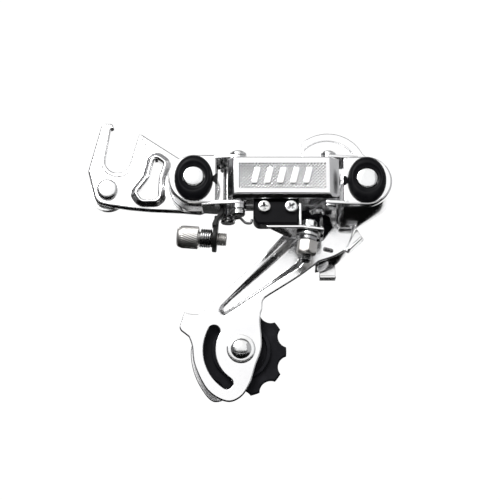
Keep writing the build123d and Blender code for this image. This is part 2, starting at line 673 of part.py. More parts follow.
with BuildPart() as cage_outer_plate:
    with BuildSketch(face_at(cage_front + cage_t)):
        with BuildLine():
            # Guard over the guide pulley, then round the pivot
            ThreePointArc((90.8, 11.2), (108.3, 15.6), (121.4, 5.0))
            ThreePointArc((121.4, 5.0), (130.6, -9.0), (126.6, -27.0))
            ThreePointArc((126.6, -27.0), (118.6, -31.0), (115.8, -34.6))
            Spline((115.8, -34.6), (112.6, -43.0), (106.8, -47.3), (98.6, -50.2))
            Polyline((98.6, -50.2), (89.1, -57.5), (71.2, -69.0))
            Spline(
                (71.2, -69.0),
                (70.0, -78.0),
                (70.7, -92.0),
                (67.6, -102.0),
                (64.9, -110.6),
                (60.6, -117.0),
                (53.8, -119.2),
                (44.8, -113.6),
                (38.6, -101.7),
                (37.2, -92.2),
                (35.6, -87.6),
            )
            Polyline((35.6, -87.6), (32.0, -84.8), (31.2, -82.6), (33.6, -75.4), (35.6, -76.2))
            Spline((35.6, -76.2), (40.4, -76.4), (43.4, -74.6), (48.6, -69.2))
            Polyline((48.6, -69.2), (70.8, -48.3), (80.4, -37.6))
            ThreePointArc((80.4, -37.6), (82.6, -36.4), (85.2, -36.8))
            Polyline((85.2, -36.8), (96.0, -40.6), (100.4, -39.2), (105.4, -32.8))
            Polyline((105.4, -32.8), (104.0, -27.6), (96.0, -22.6), (90.0, -12.0), (90.8, 11.2))
        make_face()
    extrude(amount=cage_t)
    with BuildSketch(face_at(cage_front + cage_t)):
        with Locations((tension_x, tension_z), (guide_x, guide_z)):
            Circle(2.52)
        with Locations((lower_x, lower_z)):
            Circle(pivot_r)
        with Locations(Location((103.0, -44.4, 0), -14)):
            SlotOverall(5.4, 1.8)
    extrude(amount=cage_t, mode=Mode.SUBTRACT)
    # Curved window that shows the tension pulley
    with BuildSketch(face_at(cage_front)):
        curved_window(2.9)
    extrude(amount=cage_t, both=True, mode=Mode.SUBTRACT)
    # Long pressed valley in the arm: sunk in front, proud behind
    for front in (cage_front + cage_t, cage_front):
        with BuildSketch(face_at(front)):
            with BuildLine():
                Polyline((50.0, -75.2), (51.3, -71.8), (71.6, -50.2), (85.8, -41.2))
                Polyline((85.8, -41.2), (91.2, -47.6), (89.2, -53.0), (54.0, -77.3), (50.0, -75.2))
            make_face()
        with BuildSketch(face_at(front + valley_depth)):
            with BuildLine():
                Polyline((52.2, -75.0), (52.9, -73.3), (72.4, -52.9), (85.2, -45.0))
                Polyline((85.2, -45.0), (88.0, -48.0), (86.4, -51.4), (54.6, -75.4), (52.2, -75.0))
            make_face()
        loft(mode=Mode.ADD if front > cage_front else Mode.SUBTRACT)
    # Chain guard turned inboard and down, below the chain's path
    for depth, drop_z in ((cage_front + 0.8, 0.0), (11.6, 3.0)):
        with BuildSketch(face_at(depth)):
            with BuildLine():
                ThreePointArc((112.4, -41.4 - drop_z), (106.2, -46.9 - drop_z), (97.0, -50.2 - drop_z))
                Line((97.0, -50.2 - drop_z), (96.5, -48.8 - drop_z))
                ThreePointArc((96.5, -48.8 - drop_z), (105.2, -45.6 - drop_z), (111.1, -40.5 - drop_z))
                Line((111.1, -40.5 - drop_z), (112.4, -41.4 - drop_z))
            make_face()
    loft()
    # Stop tab turned outboard under the spring housing
    with BuildSketch(face_at(cage_front + cage_t)):
        with BuildLine():
            Polyline((117.2, -33.3), (120.8, -39.1), (113.2, -46.2), (111.4, -44.6), (117.2, -33.3))
        make_face()
    extrude(amount=cage_t)
    with BuildSketch(face_at(cage_front + cage_t)):
        with BuildLine():
            Polyline((119.7, -40.1), (113.2, -46.2), (112.24, -45.18), (118.74, -39.1), (119.7, -40.1))
        make_face()
    extrude(amount=8.0)
save(cage_outer_plate, "cage_outer_plate")

with BuildPart() as cage_inner_plate:
    with BuildSketch(face_at(inner_plate_front + inner_plate_t)):
        with BuildLine():
            ThreePointArc((92.6, -2.0), (104.0, 3.0), (115.0, -2.4))
            ThreePointArc((115.0, -2.4), (121.0, -14.0), (117.6, -26.0))
            Spline((117.6, -26.0), (112.0, -35.5), (104.0, -42.5), (91.0, -51.5), (70.0, -66.5))
            Spline(
                (70.0, -66.5),
                (68.4, -80.0),
                (68.6, -92.0),
                (65.6, -102.0),
                (60.4, -110.6),
                (54.0, -115.4),
                (47.2, -116.8),
                (41.8, -111.0),
                (37.6, -102.0),
                (36.2, -92.0),
                (38.4, -84.0),
            )
            Spline((38.4, -84.0), (47.0, -72.0), (68.0, -51.6), (82.6, -36.0))
            Spline((82.6, -36.0), (87.4, -26.0), (88.6, -12.0), (92.6, -2.0))
        make_face()
        with Locations((tension_x, tension_z), (guide_x, guide_z)):
            Circle(2.52, mode=Mode.SUBTRACT)
        with Locations((83.0, -47.6)):
            SlotOverall(16.0, 5.0, rotation=42, mode=Mode.SUBTRACT)
    extrude(amount=inner_plate_t)
    # Small tab turned outboard that keeps the chain in
    with BuildSketch(face_at(inner_plate_front + inner_plate_t)):
        with Locations((103.2, -48.3)):
            Rectangle(8.2, 16.0)
    extrude(amount=inner_plate_t)
    with BuildSketch(face_at(inner_plate_front + inner_plate_t)):
        with Locations((103.2, -55.6)):
            Rectangle(8.2, 1.4)
    extrude(amount=5.2)
save(cage_inner_plate, "cage_inner_plate")


def pulley(x, z):
    """A ten-tooth jockey wheel; the valleys fit the rollers of a 12.7 mm chain."""
    pitch_r = chain_pitch / 2 / 0.30902
    valley_at = pitch_r + 3.8
    with BuildSketch(face_at(pulley_mid + 1.4)) as shape:
        with Locations((x, z)):
            Circle(tip_r)
            with PolarLocations(valley_at, teeth, start_angle=18):
                Circle(valley_r, mode=Mode.SUBTRACT)
    extrude(shape.sketch, amount=2.8)
    with BuildSketch(face_at(pulley_mid + 3.4)) as shape:
        with Locations((x, z)):
            Circle(14.2)
    extrude(shape.sketch, amount=6.8)
    # Sunk ring on each side, then the bore
    for depth, sign in ((pulley_mid + 3.4, 1), (pulley_mid - 3.4, -1)):
        with BuildSketch(face_at(depth)) as shape:
            with Locations((x, z)):
                Circle(12.4)
                Circle(8.8, mode=Mode.SUBTRACT)
        extrude(shape.sketch, amount=1.8 * sign, mode=Mode.SUBTRACT)
    with BuildSketch(face_at(pulley_mid + 4)) as shape:
        with Locations((x, z)):
            Circle(4.05)
    extrude(shape.sketch, amount=8, mode=Mode.SUBTRACT)


def pulley_bolt(x, z):
    """Flanged dome-headed bolt from the outer plate through to the inner plate."""
    with BuildSketch(face_at(cage_front)) as shape:
        with Locations((x, z)):
            Circle(6.9)
    extrude(shape.sketch, amount=0.9)
    with BuildSketch(face_at(cage_front - 0.9)) as shape:
        with Locations((x, z)):
            Circle(4.9)
    extrude(shape.sketch, amount=1.9)
    with BuildSketch(face_at(inner_plate_front + inner_plate_t + 0.6)) as shape:
        with Locations((x, z)):
            Circle(2.5)
    extrude(shape.sketch, amount=inner_plate_front + inner_plate_t + 0.6 - cage_front)


def bushing(x, z):
    with BuildSketch(face_at(inner_plate_front)) as shape:
        with Locations((x, z)):
            Circle(4.0)
            Circle(2.55, mode=Mode.SUBTRACT)
    extrude(shape.sketch, amount=inner_plate_front - cage_front - cage_t)


def dust_caps(x, z):
    """One thin cover on each side of a pulley's hub, as two separate solids."""
    for depth in (pulley_mid + 4.5, pulley_mid - 3.7):
        with BuildSketch(face_at(depth)) as shape:
            with Locations((x, z)):
                Circle(8.4)
                Circle(4.03, mode=Mode.SUBTRACT)
        extrude(shape.sketch, amount=0.8)


with BuildPart() as tension_bolt:
    pulley_bolt(tension_x, tension_z)
    fillet(tension_bolt.edges().sort_by(Axis.Y)[0], radius=1.5)
save(tension_bolt, "tension_bolt")

# The upper wheel's bolt goes in from inboard, so its outer end lies flush
with BuildPart() as guide_bolt:
    inner_back = inner_plate_front + inner_plate_t
    with BuildSketch(face_at(inner_back)):
        with Locations((guide_x, guide_z)):
            Circle(2.5)
    extrude(amount=inner_back - cage_front - 0.1)
    with BuildSketch(face_at(inner_back + 2.0)):
        with Locations((guide_x, guide_z)):
            Circle(4.8)
    extrude(amount=2.0)
    fillet(guide_bolt.edges().sort_by(Axis.Y)[-1], radius=0.8)
    with BuildSketch(face_at(inner_back + 2.0)):
        with Locations((guide_x, guide_z)):
            RegularPolygon(radius=2.3, side_count=6)
    extrude(amount=1.2, mode=Mode.SUBTRACT)
save(guide_bolt, "guide_bolt")

for name, x, z in (("guide", guide_x, guide_z), ("tension", tension_x, tension_z)):
    with BuildPart() as wheel:
        pulley(x, z)
    save(wheel, name + "_pulley")
    with BuildPart() as bush:
        bushing(x, z)
    save(bush, name + "_bushing")
    with BuildPart() as caps:
        dust_caps(x, z)
    save(caps, name + "_caps")
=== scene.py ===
import bpy
import bmesh
import json
import math
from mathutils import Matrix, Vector, geometry


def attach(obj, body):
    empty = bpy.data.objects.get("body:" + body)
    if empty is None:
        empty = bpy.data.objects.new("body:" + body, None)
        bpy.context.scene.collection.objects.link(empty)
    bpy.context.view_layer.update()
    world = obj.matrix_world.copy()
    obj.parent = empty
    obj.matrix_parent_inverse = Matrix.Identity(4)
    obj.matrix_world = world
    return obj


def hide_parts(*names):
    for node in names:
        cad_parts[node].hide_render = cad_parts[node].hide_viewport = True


# Looks for the rear derailleur. Lengths are millimetres, turned into metres where a mesh is made.
# The floor, light and flags are placed in metres.
# X is forward, Y is inboard (away from the camera), Z is up, as in the CAD model.

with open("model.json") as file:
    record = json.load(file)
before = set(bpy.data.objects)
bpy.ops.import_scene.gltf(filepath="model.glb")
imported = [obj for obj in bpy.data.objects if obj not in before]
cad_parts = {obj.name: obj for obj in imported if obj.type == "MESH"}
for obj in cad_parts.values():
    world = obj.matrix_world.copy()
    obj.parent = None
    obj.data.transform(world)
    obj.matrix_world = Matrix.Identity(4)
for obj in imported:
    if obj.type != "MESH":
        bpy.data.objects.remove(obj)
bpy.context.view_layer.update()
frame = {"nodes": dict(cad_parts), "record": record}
scene = bpy.context.scene
MM = 0.001


# ---- camera
# The photograph looks up at the outboard side from a little below.
target = Vector((65.05, -8.0, -47.0))
rise = math.radians(16.0)
distance = 700.0
frame_width = 240.4

look = Vector((0, math.cos(rise), math.sin(rise)))
camera_data = bpy.data.cameras.new("camera")
camera_data.sensor_width = 36.0
camera_data.lens = 36.0 * distance / frame_width
camera_data.clip_start = 0.01
camera = bpy.data.objects.new("camera", camera_data)
camera.location = (target - look * distance) * MM
camera.rotation_euler = look.to_track_quat("-Z", "Y").to_euler()
scene.collection.objects.link(camera)
scene.camera = camera

# ---- light and floor
scene.view_settings.view_transform = "Standard"
world = bpy.data.worlds.new("studio")
world.use_nodes = True
world.node_tree.nodes["Background"].inputs["Color"].default_value = (1, 1, 1, 1)
world.node_tree.nodes["Background"].inputs["Strength"].default_value = 1.05
scene.world = world


def paper(name, colour):
    mat = bpy.data.materials.new(name)
    mat.use_nodes = True
    shader = mat.node_tree.nodes["Principled BSDF"]
    shader.inputs["Base Color"].default_value = (*colour, 1)
    shader.inputs["Roughness"].default_value = 0.9
    shader.inputs["Specular IOR Level"].default_value = 0.0
    return mat


def flat_sheet(name, width, height, centre, normal):
    """A rectangle with its middle at centre, facing along normal. Metres."""
    mesh = bpy.data.meshes.new(name)
    x, y = width / 2, height / 2
    mesh.from_pydata([(-x, -y, 0), (x, -y, 0), (x, y, 0), (-x, y, 0)], [], [(0, 1, 2, 3)])
    obj = bpy.data.objects.new(name, mesh)
    obj.location = centre
    obj.rotation_euler = Vector(normal).to_track_quat("Z", "Y").to_euler()
    scene.collection.objects.link(obj)
    return obj


floor = flat_sheet("floor", 20, 20, (0, 0, -0.30), (0, 0, 1))
floor.data.materials.append(paper("floor_paper", (0.85, 0.85, 0.85)))

# Black and grey studio flags that the bright metal mirrors. The camera does not see them.
middle = target * MM
black_cloth = paper("flag_cloth", (0.002, 0.002, 0.002))
dark_cloth = paper("flag_grey", (0.06, 0.06, 0.062))
pale_cloth = paper("flag_pale", (0.20, 0.20, 0.205))
bright_cloth = paper("flag_bright", (0.32, 0.32, 0.325))
side_z = middle.z + 0.1
near_x, near_y, far_x, far_y = 0.55, -0.62, 0.82, 0.30
for name, cloth, width, height, place, normal in (
    ("flag_under", black_cloth, 2.2, 1.9, (middle.x, 0.25, -0.27), (0, 0, 1)),
    ("flag_low", black_cloth, 1.6, 0.22, (middle.x, -0.95, -0.19), (0, 1, 0)),
    ("flag_left", dark_cloth, 1.2, 1.2, (middle.x - near_x, near_y, side_z), (1, 0, 0)),
    ("flag_right", bright_cloth, 1.2, 1.2, (middle.x + near_x, near_y, side_z), (-1, 0, 0)),
    ("flag_left_far", pale_cloth, 1.0, 1.0, (middle.x - far_x, far_y, side_z), (1, 0, 0)),
    ("flag_right_far", bright_cloth, 1.0, 1.0, (middle.x + far_x, far_y, side_z), (-1, 0, 0)),
    ("flag_top", pale_cloth, 1.3, 0.8, (middle.x, -0.15, middle.z + 0.75), (0, 0, -1)),
):
    flag = flat_sheet(name, width, height, place, normal)
    flag.data.materials.append(cloth)
    flag.visible_camera = flag.visible_diffuse = flag.visible_shadow = False

light_at = Vector((middle.x - 0.35, -0.75, 0.45))
light = bpy.data.lights.new("key", "AREA")
light.energy = 6.0
light.shape = "DISK"
light.size = 0.5
key = bpy.data.objects.new("key", light)
key.location = light_at
key.rotation_euler = (middle - light_at).to_track_quat("-Z", "Y").to_euler()
scene.collection.objects.link(key)

# ---- materials


class Nodes:
    """Short names for building one material's node tree."""

    def __init__(self, name):
        self.material = bpy.data.materials.new(name)
        self.material.use_nodes = True
        self.tree = self.material.node_tree
        self.shader = self.tree.nodes["Principled BSDF"]
        self.place = self.add("ShaderNodeTexCoord").outputs["Object"]

    def add(self, kind, **settings):
        node = self.tree.nodes.new(kind)
        for key, value in settings.items():
            setattr(node, key, value)
        return node

    def join(self, output, node_input):
        self.tree.links.new(output, node_input)

    def noise(self, scale, detail=4.0, stretch=(1, 1, 1)):
        mapping = self.add("ShaderNodeMapping")
        mapping.inputs["Scale"].default_value = stretch
        self.join(self.place, mapping.inputs["Vector"])
        node = self.add("ShaderNodeTexNoise")
        node.inputs["Scale"].default_value = scale
        node.inputs["Detail"].default_value = detail
        self.join(mapping.outputs["Vector"], node.inputs["Vector"])
        return node.outputs["Fac"]

    def ramp(self, value, low, high, out_low, out_high):
        node = self.add("ShaderNodeMapRange", clamp=True)
        node.inputs["From Min"].default_value = low
        node.inputs["From Max"].default_value = high
        node.inputs["To Min"].default_value = out_low
        node.inputs["To Max"].default_value = out_high
        self.join(value, node.inputs["Value"])
        return node.outputs["Result"]

    def mix(self, factor, first, second):
        node = self.add("ShaderNodeMix", data_type="RGBA")
        node.inputs["A"].default_value = (*first, 1)
        node.inputs["B"].default_value = (*second, 1)
        self.join(factor, node.inputs["Factor"])
        return node.outputs["Result"]

    def add_up(self, first, second):
        node = self.add("ShaderNodeMath", operation="ADD")
        self.join(first, node.inputs[0])
        self.join(second, node.inputs[1])
        return node.outputs["Value"]

    def bump(self, height, depth_mm, strength=1.0):
        node = self.add("ShaderNodeBump")
        node.inputs["Distance"].default_value = depth_mm * MM
        node.inputs["Strength"].default_value = strength
        self.join(height, node.inputs["Height"])
        self.join(node.outputs["Normal"], self.shader.inputs["Normal"])


def plated(name, clean, dull, rough_low, rough_high, grain_mm, grain_depth):
    """Bright plating: clouding in the gloss, hairline scratches and slight tarnish."""
    n = Nodes(name)
    n.shader.inputs["Metallic"].default_value = 1.0
    cloud = n.noise(90, 5)
    hair = n.noise(260, 6, (1, 1, 14))
    n.join(n.mix(n.ramp(cloud, 0.45, 0.75, 0, 1), clean, dull), n.shader.inputs["Base Color"])
    gloss = n.ramp(n.add_up(cloud, hair), 0.75, 1.3, rough_low, rough_high)
    n.join(gloss, n.shader.inputs["Roughness"])
    n.bump(n.noise(1000 / grain_mm, 3), grain_depth)
    return n.material


def moulded(name, colour, worn, rough_low, rough_high, grain_mm, grain_depth, shine=0.1):
    """Black moulded plastic: fine spark-eroded grain, slightly greyer where it is rubbed."""
    n = Nodes(name)
    cloud = n.noise(120, 5)
    n.join(n.mix(n.ramp(cloud, 0.5, 0.8, 0, 1), colour, worn), n.shader.inputs["Base Color"])
    n.join(n.ramp(cloud, 0.3, 0.7, rough_low, rough_high), n.shader.inputs["Roughness"])
    n.shader.inputs["Specular IOR Level"].default_value = shine
    n.bump(n.noise(1000 / grain_mm, 2), grain_depth)
    return n.material


# Colour, second colour, lowest and highest roughness, grain size and grain depth in millimetres
metals = {
    "chrome_plate": ((0.95, 0.95, 0.955), (0.90, 0.90, 0.91), 0.13, 0.22, 6.0, 0.004),
    "zinc_hardware": ((0.88, 0.885, 0.89), (0.74, 0.74, 0.73), 0.12, 0.26, 1.2, 0.004),
    "satin_nickel": ((0.80, 0.785, 0.76), (0.66, 0.64, 0.61), 0.40, 0.52, 0.5, 0.006),
    "spring_steel": ((0.55, 0.55, 0.56), (0.38, 0.38, 0.39), 0.16, 0.3, 0.8, 0.004),
}
# The same, and black_oxide has its own shine
blacks = {
    "black_plastic": ((0.003, 0.003, 0.004), (0.009, 0.009, 0.01), 0.28, 0.5, 0.35, 0.012),
    "pulley_resin": ((0.004, 0.004, 0.006), (0.013, 0.013, 0.016), 0.4, 0.6, 0.3, 0.014),
    "black_oxide": ((0.004, 0.004, 0.004), (0.03, 0.03, 0.03), 0.3, 0.45, 0.5, 0.006, 0.3),
}
materials = {name: plated(name, *values) for name, values in metals.items()}
materials.update({name: moulded(name, *values) for name, values in blacks.items()})
slots = {row["node"]: row["material_slot"] for row in frame["record"]["subparts"]}
for name, obj in frame["nodes"].items():
    obj.data.materials.clear()
    obj.data.materials.append(materials[slots[name]])

# ---- outlines, as lists of (u, v) points


def polar(centre, radius, a):
    """The point at an angle, in radians, on a circle."""
    return centre[0] + radius * math.cos(a), centre[1] + radius * math.sin(a)


def arc(centre, radius, start, end, step=6):
    """Points round part of a circle. Angles are degrees."""
    count = max(2, round(abs(end - start) / step))
    return [polar(centre, radius, math.radians(start + (end - start) * i / count)) for i in range(count + 1)]


def full_turn(count):
    """Evenly spaced angles round a circle, in radians."""
    return [2 * math.pi * i / count for i in range(count)]


def circle(centre, radius, step=6):
    return arc(centre, radius, 0, 360, step)[:-1]


def flowing(points, steps=5):
    """A smooth open run through the points."""
    ends = [points[0], *points, points[-1]]
    run = []
    for a, b, c, d in zip(ends, ends[1:], ends[2:], ends[3:]):
        a, b, c, d = (Vector(p) for p in (a, b, c, d))
        for i in range(steps):
            t = i / steps
            squared, cubed = a - b * 2.5 + c * 2 - d / 2, b * 1.5 - a / 2 - c * 1.5 + d / 2
            run.append(tuple(b + (c - a) * t / 2 + squared * t * t + cubed * t**3))
    return run + [tuple(points[-1])]


def rounded(points, step=10):
    """A closed outline through (u, v, radius) corners. A corner with no radius stays sharp."""
    result = []
    for i, corner in enumerate(points):
        here = Vector(corner[:2])
        before = Vector(points[i - 1][:2]) - here
        after = Vector(points[(i + 1) % len(points)][:2]) - here
        half = before.angle(after, math.pi) / 2
        if len(corner) < 3 or half > math.radians(88):
            result.append(tuple(here))
            continue
        reach = min(corner[2] / math.tan(half), before.length * 0.49, after.length * 0.49)
        middle = here + (before.normalized() + after.normalized()).normalized() * reach / math.cos(half)
        spoke = here + before.normalized() * reach - middle
        last = here + after.normalized() * reach - middle
        turn = math.copysign(math.pi - 2 * half, spoke.x * last.y - spoke.y * last.x)
        count = max(2, round(abs(math.degrees(turn)) / step))
        for k in range(count + 1):
            cos, sin = math.cos(turn * k / count), math.sin(turn * k / count)
            spun = Vector((spoke.x * cos - spoke.y * sin, spoke.x * sin + spoke.y * cos))
            result.append(tuple(middle + spun))
    return result


def hull(*groups):
    """The convex outline round several lists of points."""
    points = [Vector(p) for group in groups for p in group]
    return [tuple(points[i]) for i in geometry.convex_hull_2d(points)]


def tidy_outline(outline):
    """Drops points that lie on top of the one before."""
    kept = []
    for p in outline:
        if not kept or (Vector(p) - Vector(kept[-1])).length > 0.02:
            kept.append(p)
    if (Vector(kept[0]) - Vector(kept[-1])).length <= 0.02:
        kept.pop()
    return kept


def shifted(outline, amount):
    """The outline moved inwards by amount, or outwards if it is negative."""
    after = outline[1:] + outline[:1]
    before = outline[-1:] + outline[:-1]
    area = sum(a[0] * b[1] - b[0] * a[1] for a, b in zip(outline, after))
    side = math.copysign(amount, area * amount) if amount else 0
    result = []
    for prev, here, following in zip(before, outline, after):
        first = (Vector(here) - Vector(prev)).normalized()
        second = (Vector(following) - Vector(here)).normalized()
        normal = Vector((-first.y - second.y, first.x + second.x)) / max(0.4, 1 + first.dot(second))
        result.append(tuple(Vector(here) + normal * side))
    return result


def distance_to(line, u, v):
    """How far (u, v) lies from an open line."""
    here = Vector((u, v))
    best = 1e9
    points = [Vector(p) for p in line]
    for a, b in zip(points, points[1:]):
        t = max(0.0, min(1.0, (here - a).dot(b - a) / max(1e-9, (b - a).length_squared)))
        best = min(best, (a + (b - a) * t - here).length)
    return best


def inside(outline, u, v):
    """Whether (u, v) lies inside a closed outline."""
    result = False
    for (ax, ay), (bx, by) in zip(outline, outline[1:] + outline[:1]):
        if (ay > v) != (by > v) and u < ax + (v - ay) * (bx - ax) / (by - ay):
            result = not result
    return result


def ease(t):
    """0 below 0, 1 above 1, and smooth between."""
    t = max(0.0, min(1.0, t))
    return t * t * (3 - 2 * t)


# ---- where outlines go
# Each of these turns an outline's (u, v) and a depth into (x, y, z)


def facing(u, v, depth):
    """Outlines drawn in X and Z, with depth along Y."""
    return Vector((u, depth, v))


def lying(u, v, depth):
    """Outlines drawn in X and Y, with depth along Z."""
    return Vector((u, v, depth))


def sideways(u, v, depth):
    """Outlines drawn in Y and Z, with depth along X."""
    return Vector((depth, u, v))


def along(origin, direction, across=(0, 1, 0)):
    """Outlines drawn square to a direction, with depth along it."""
    origin, direction, across = Vector(origin), Vector(direction).normalized(), Vector(across)
    other = direction.cross(across)
    return lambda u, v, depth: origin + other * u + across * v + direction * depth


# ---- meshes, in millimetres until piece()


def skin(bm, rows, closed=True):
    """Faces between neighbouring rows of vertices."""
    for a, b in zip(rows, rows[1:]):
        for i in range(0 if closed else 1, len(a)):
            bm.faces.new((a[i - 1], a[i], b[i], b[i - 1]))


def edge_round(low, high, radius, steps=4):
    """A profile from one face to the other, with both edges rounded."""
    turns = [math.radians(90 * i / steps) for i in range(steps + 1)]
    sign = 1 if high > low else -1
    first = [(radius * (1 - math.sin(a)), low + sign * radius * (1 - math.cos(a))) for a in turns]
    return first + [(inset, low + high - depth) for inset, depth in reversed(first)]


def stack(bm, place, outer, profile, holes=()):
    """A closed solid: an outline inset by profile's (inset, depth) steps. Each hole has its own profile."""
    caps = ([], [])
    for outline, steps, sign in [(outer, profile, 1)] + [(h, p, -1) for h, p in holes]:
        outline = tidy_outline(outline)
        rows = [
            [bm.verts.new(place(u, v, depth)) for u, v in shifted(outline, inset * sign)]
            for inset, depth in steps
        ]
        skin(bm, rows)
        caps[0].append(rows[0])
        caps[1].append(rows[-1])
    for rows in caps:
        edges = [bm.edges.get((row[i - 1], row[i])) for row in rows for i in range(len(row))]
        bmesh.ops.triangle_fill(bm, edges=edges, use_beauty=True)
    return bm


def turned(bm, place, centre, profile, segments=64, lobes=None):
    """A lathe-turned solid from (radius, depth) points. lobes(angle, radius) may change the radius."""
    ring = profile[0][0] > 1e-6
    rows = []
    for radius, depth in profile:
        if radius < 1e-6:
            rows.append([bm.verts.new(place(*centre, depth))])
            continue
        rows.append([
            bm.verts.new(place(*polar(centre, lobes(a, radius) if lobes else radius, a), depth))
            for a in full_turn(segments)
        ])
    pairs = list(zip(rows, rows[1:])) + ([(rows[-1], rows[0])] if ring else [])
    for a, b in pairs:
        for i in range(segments):
            quad = [a[(i - 1) % len(a)], a[i % len(a)], b[i % len(b)], b[(i - 1) % len(b)]]
            corners = list(dict.fromkeys(quad))
            if len(corners) > 2:
                bm.faces.new(corners)
    return bm


def wire(bm, points, radius, sides=12):
    """A round wire along the points, with domed ends."""
    points = [Vector(p) for p in points]
    start, end = (points[1] - points[0]).normalized(), (points[-1] - points[-2]).normalized()
    path = [(p, 1) for p in points]
    path = [(points[0] - start * radius * 0.6, 0.55), *path, (points[-1] + end * radius * 0.6, 0.55)]
    normal = start.orthogonal().normalized()
    rows = []
    for i, (point, share) in enumerate(path):
        ahead = (path[min(i + 1, len(path) - 1)][0] - path[max(i - 1, 0)][0]).normalized()
        normal = (normal - ahead * normal.dot(ahead)).normalized()
        other = ahead.cross(normal)
        rows.append([
            bm.verts.new(point + (normal * math.cos(a) + other * math.sin(a)) * radius * share)
            for a in full_turn(sides)
        ])
    skin(bm, rows)
    bm.faces.new(rows[0])
    bm.faces.new(rows[-1])
    return bm


def helix(place, radius, low, high, turns, start=0.0, per_turn=24):
    """Points on a coil about the axis that place gives."""
    count = round(turns * per_turn)
    result = []
    for i in range(count + 1):
        a = math.radians(start) + 2 * math.pi * turns * i / count
        result.append(place(*polar((0, 0), radius, a), low + (high - low) * i / count))
    return result


def cut_faces(bm, near, at, normal):
    """Cuts the faces in near where a plane crosses them."""
    shared = {e for f in near for e in f.edges}
    points = {v for f in near for v in f.verts}
    bmesh.ops.bisect_plane(bm, geom=[*points, *shared, *near], plane_co=at, plane_no=normal, dist=1e-5)


def cut_up(bm, low, high, step):
    """Cuts the mesh on upright and level planes, so that relief has points to move."""
    for axis in (0, 2):
        count = int((high[axis] - low[axis]) / step)
        for i in range(count + 1):
            at, normal = Vector((0, 0, 0)), Vector((0, 0, 0))
            at[axis] = low[axis] + i * step
            normal[axis] = 1
            spans = ((f, [v.co[axis] for v in f.verts]) for f in bm.faces)
            cut_faces(bm, [f for f, span in spans if min(span) < at[axis] < max(span)], at, normal)


def cut_beside(bm, start, end, offsets, low, high):
    """Cuts the mesh on planes beside a slanting line, so that a flank along it stays straight."""
    way = Vector((end[0] - start[0], 0, end[1] - start[1])).normalized()
    square = Vector((-way.z, 0, way.x))
    for offset in offsets:
        at = Vector((start[0], 0, start[1])) + square * offset
        near = []
        for f in bm.faces:
            mid = f.calc_center_median()
            sides = [(v.co - at).dot(square) for v in f.verts]
            if min(sides) < 0 < max(sides) and low[0] < mid.x < high[0] and low[1] < mid.z < high[1]:
                near.append(f)
        cut_faces(bm, near, at, square)


def piece(name, bm, body, slot_name, stands_for=(), sharp=34):
    """Makes the mesh an object in the row frame, on its CAD body."""
    bmesh.ops.recalc_face_normals(bm, faces=bm.faces)
    bm.normal_update()
    # Flat faces keep their own normal, so the rounded edges beside them do not bend their shading
    smooth = [max(abs(part) for part in face.normal) < 0.99998 for face in bm.faces]
    bmesh.ops.scale(bm, vec=(MM, MM, MM), verts=bm.verts)
    mesh = bpy.data.meshes.new(name)
    bm.to_mesh(mesh)
    bm.free()
    mesh.set_sharp_from_angle(angle=math.radians(sharp))
    mesh.polygons.foreach_set("use_smooth", smooth)
    mesh.materials.append(materials[slot_name])
    obj = bpy.data.objects.new(name, mesh)
    scene.collection.objects.link(obj)
    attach(obj, body)
    if stands_for:
        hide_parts(*stands_for)
    return obj


# ---- shared sizes
upper = (38.1, -15.1)
lower = (120.9, -16.0)
guide = (103.6, -15.6)
tension = (60.8, -93.6)
outer_pin = (59.3, -18.5)
inner_pin = (54.4, -7.2)
link_length = 43.5
far_outer_pin = (outer_pin[0] + link_length, outer_pin[1])
far_inner_pin = (inner_pin[0] + link_length, inner_pin[1])

# ---- hanger plate
plate_t = 4.0
slot_r = 6.1
hanger_hole = (-4.7, -15.3)
slot_path = [(-3.9, 16.2), *arc((0, 0), slot_r, 172, 350), (10.1, 13.9)]
hanger_outline = rounded([
    (11.6, 13.8, 0.6), (30.8, 1.0, 6.0), *arc(upper, 12.5, 80, -78),
    (31.0, -26.5, 20), (16.7, -25.9, 20), (7.0, -25.0, 20), (-4.0, -23.4, 10), (-10.4, -21.8, 6.0),
    (-14.6, -5.6, 2.5), (-8.4, 19.6, 2.6), (-2.9, 19.6, 2.4), (-2.2, 16.9, 0.5),
    *slot_path,
])
boot_window = rounded([
    (18.3, 1.2, 1.3), (22.6, -2.0, 1.5), (20.3, -9.4, 9), (20.0, -20.2, 2.0),
    (12.4, -20.3, 2.4), (10.2, -17.0, 1.3), (15.9, -9.3, 9),
])
boot_lip = [
    (0.4, 0), (0, -0.5), (0, -4.8), (0.08, -5.3), (0.3, -5.75), (0.65, -6.08), (1.05, -6.2), (1.5, -6.15),
    (1.95, -5.9), (2.35, -5.5), (2.7, -5.0), (3.0, -4.55), (3.35, -4.2), (3.8, -4.03), (4.3, -plate_t),
]
bm = bmesh.new()
plate_edge = edge_round(0, -plate_t, 1.1, 6)
bore = edge_round(0, -plate_t, 0.15, 2)
stack(bm, facing, hanger_outline, plate_edge, [
    (boot_window, boot_lip),
    (circle(hanger_hole, 3.05), bore),
    (circle(upper, 5.0), bore),
])
# A fine pressed bead runs round the mouth of the slot
bead = [(-5.9, 15.6), (-7.1, 8.4), *arc((0, 0), 8.2, 172, 350), (10.2, 5.6), (12.0, 11.9)]
wire(bm, [facing(u, v, -plate_t + 0.02) for u, v in bead], 0.38, 12)
# A short row of small pressed dimples beside the slot
dimple = [(0, -plate_t - 0.22), (0.3, -plate_t - 0.17), (0.5, -plate_t), (0.5, -3.6), (0, -3.6)]
for k in range(6):
    turned(bm, facing, (13.4 + 0.25 * k, 8.4 - 2.1 * k), dimple, 12)
piece("hanger_plate_pressed", bm, "hanger", "chrome_plate", ["hanger_plate"])

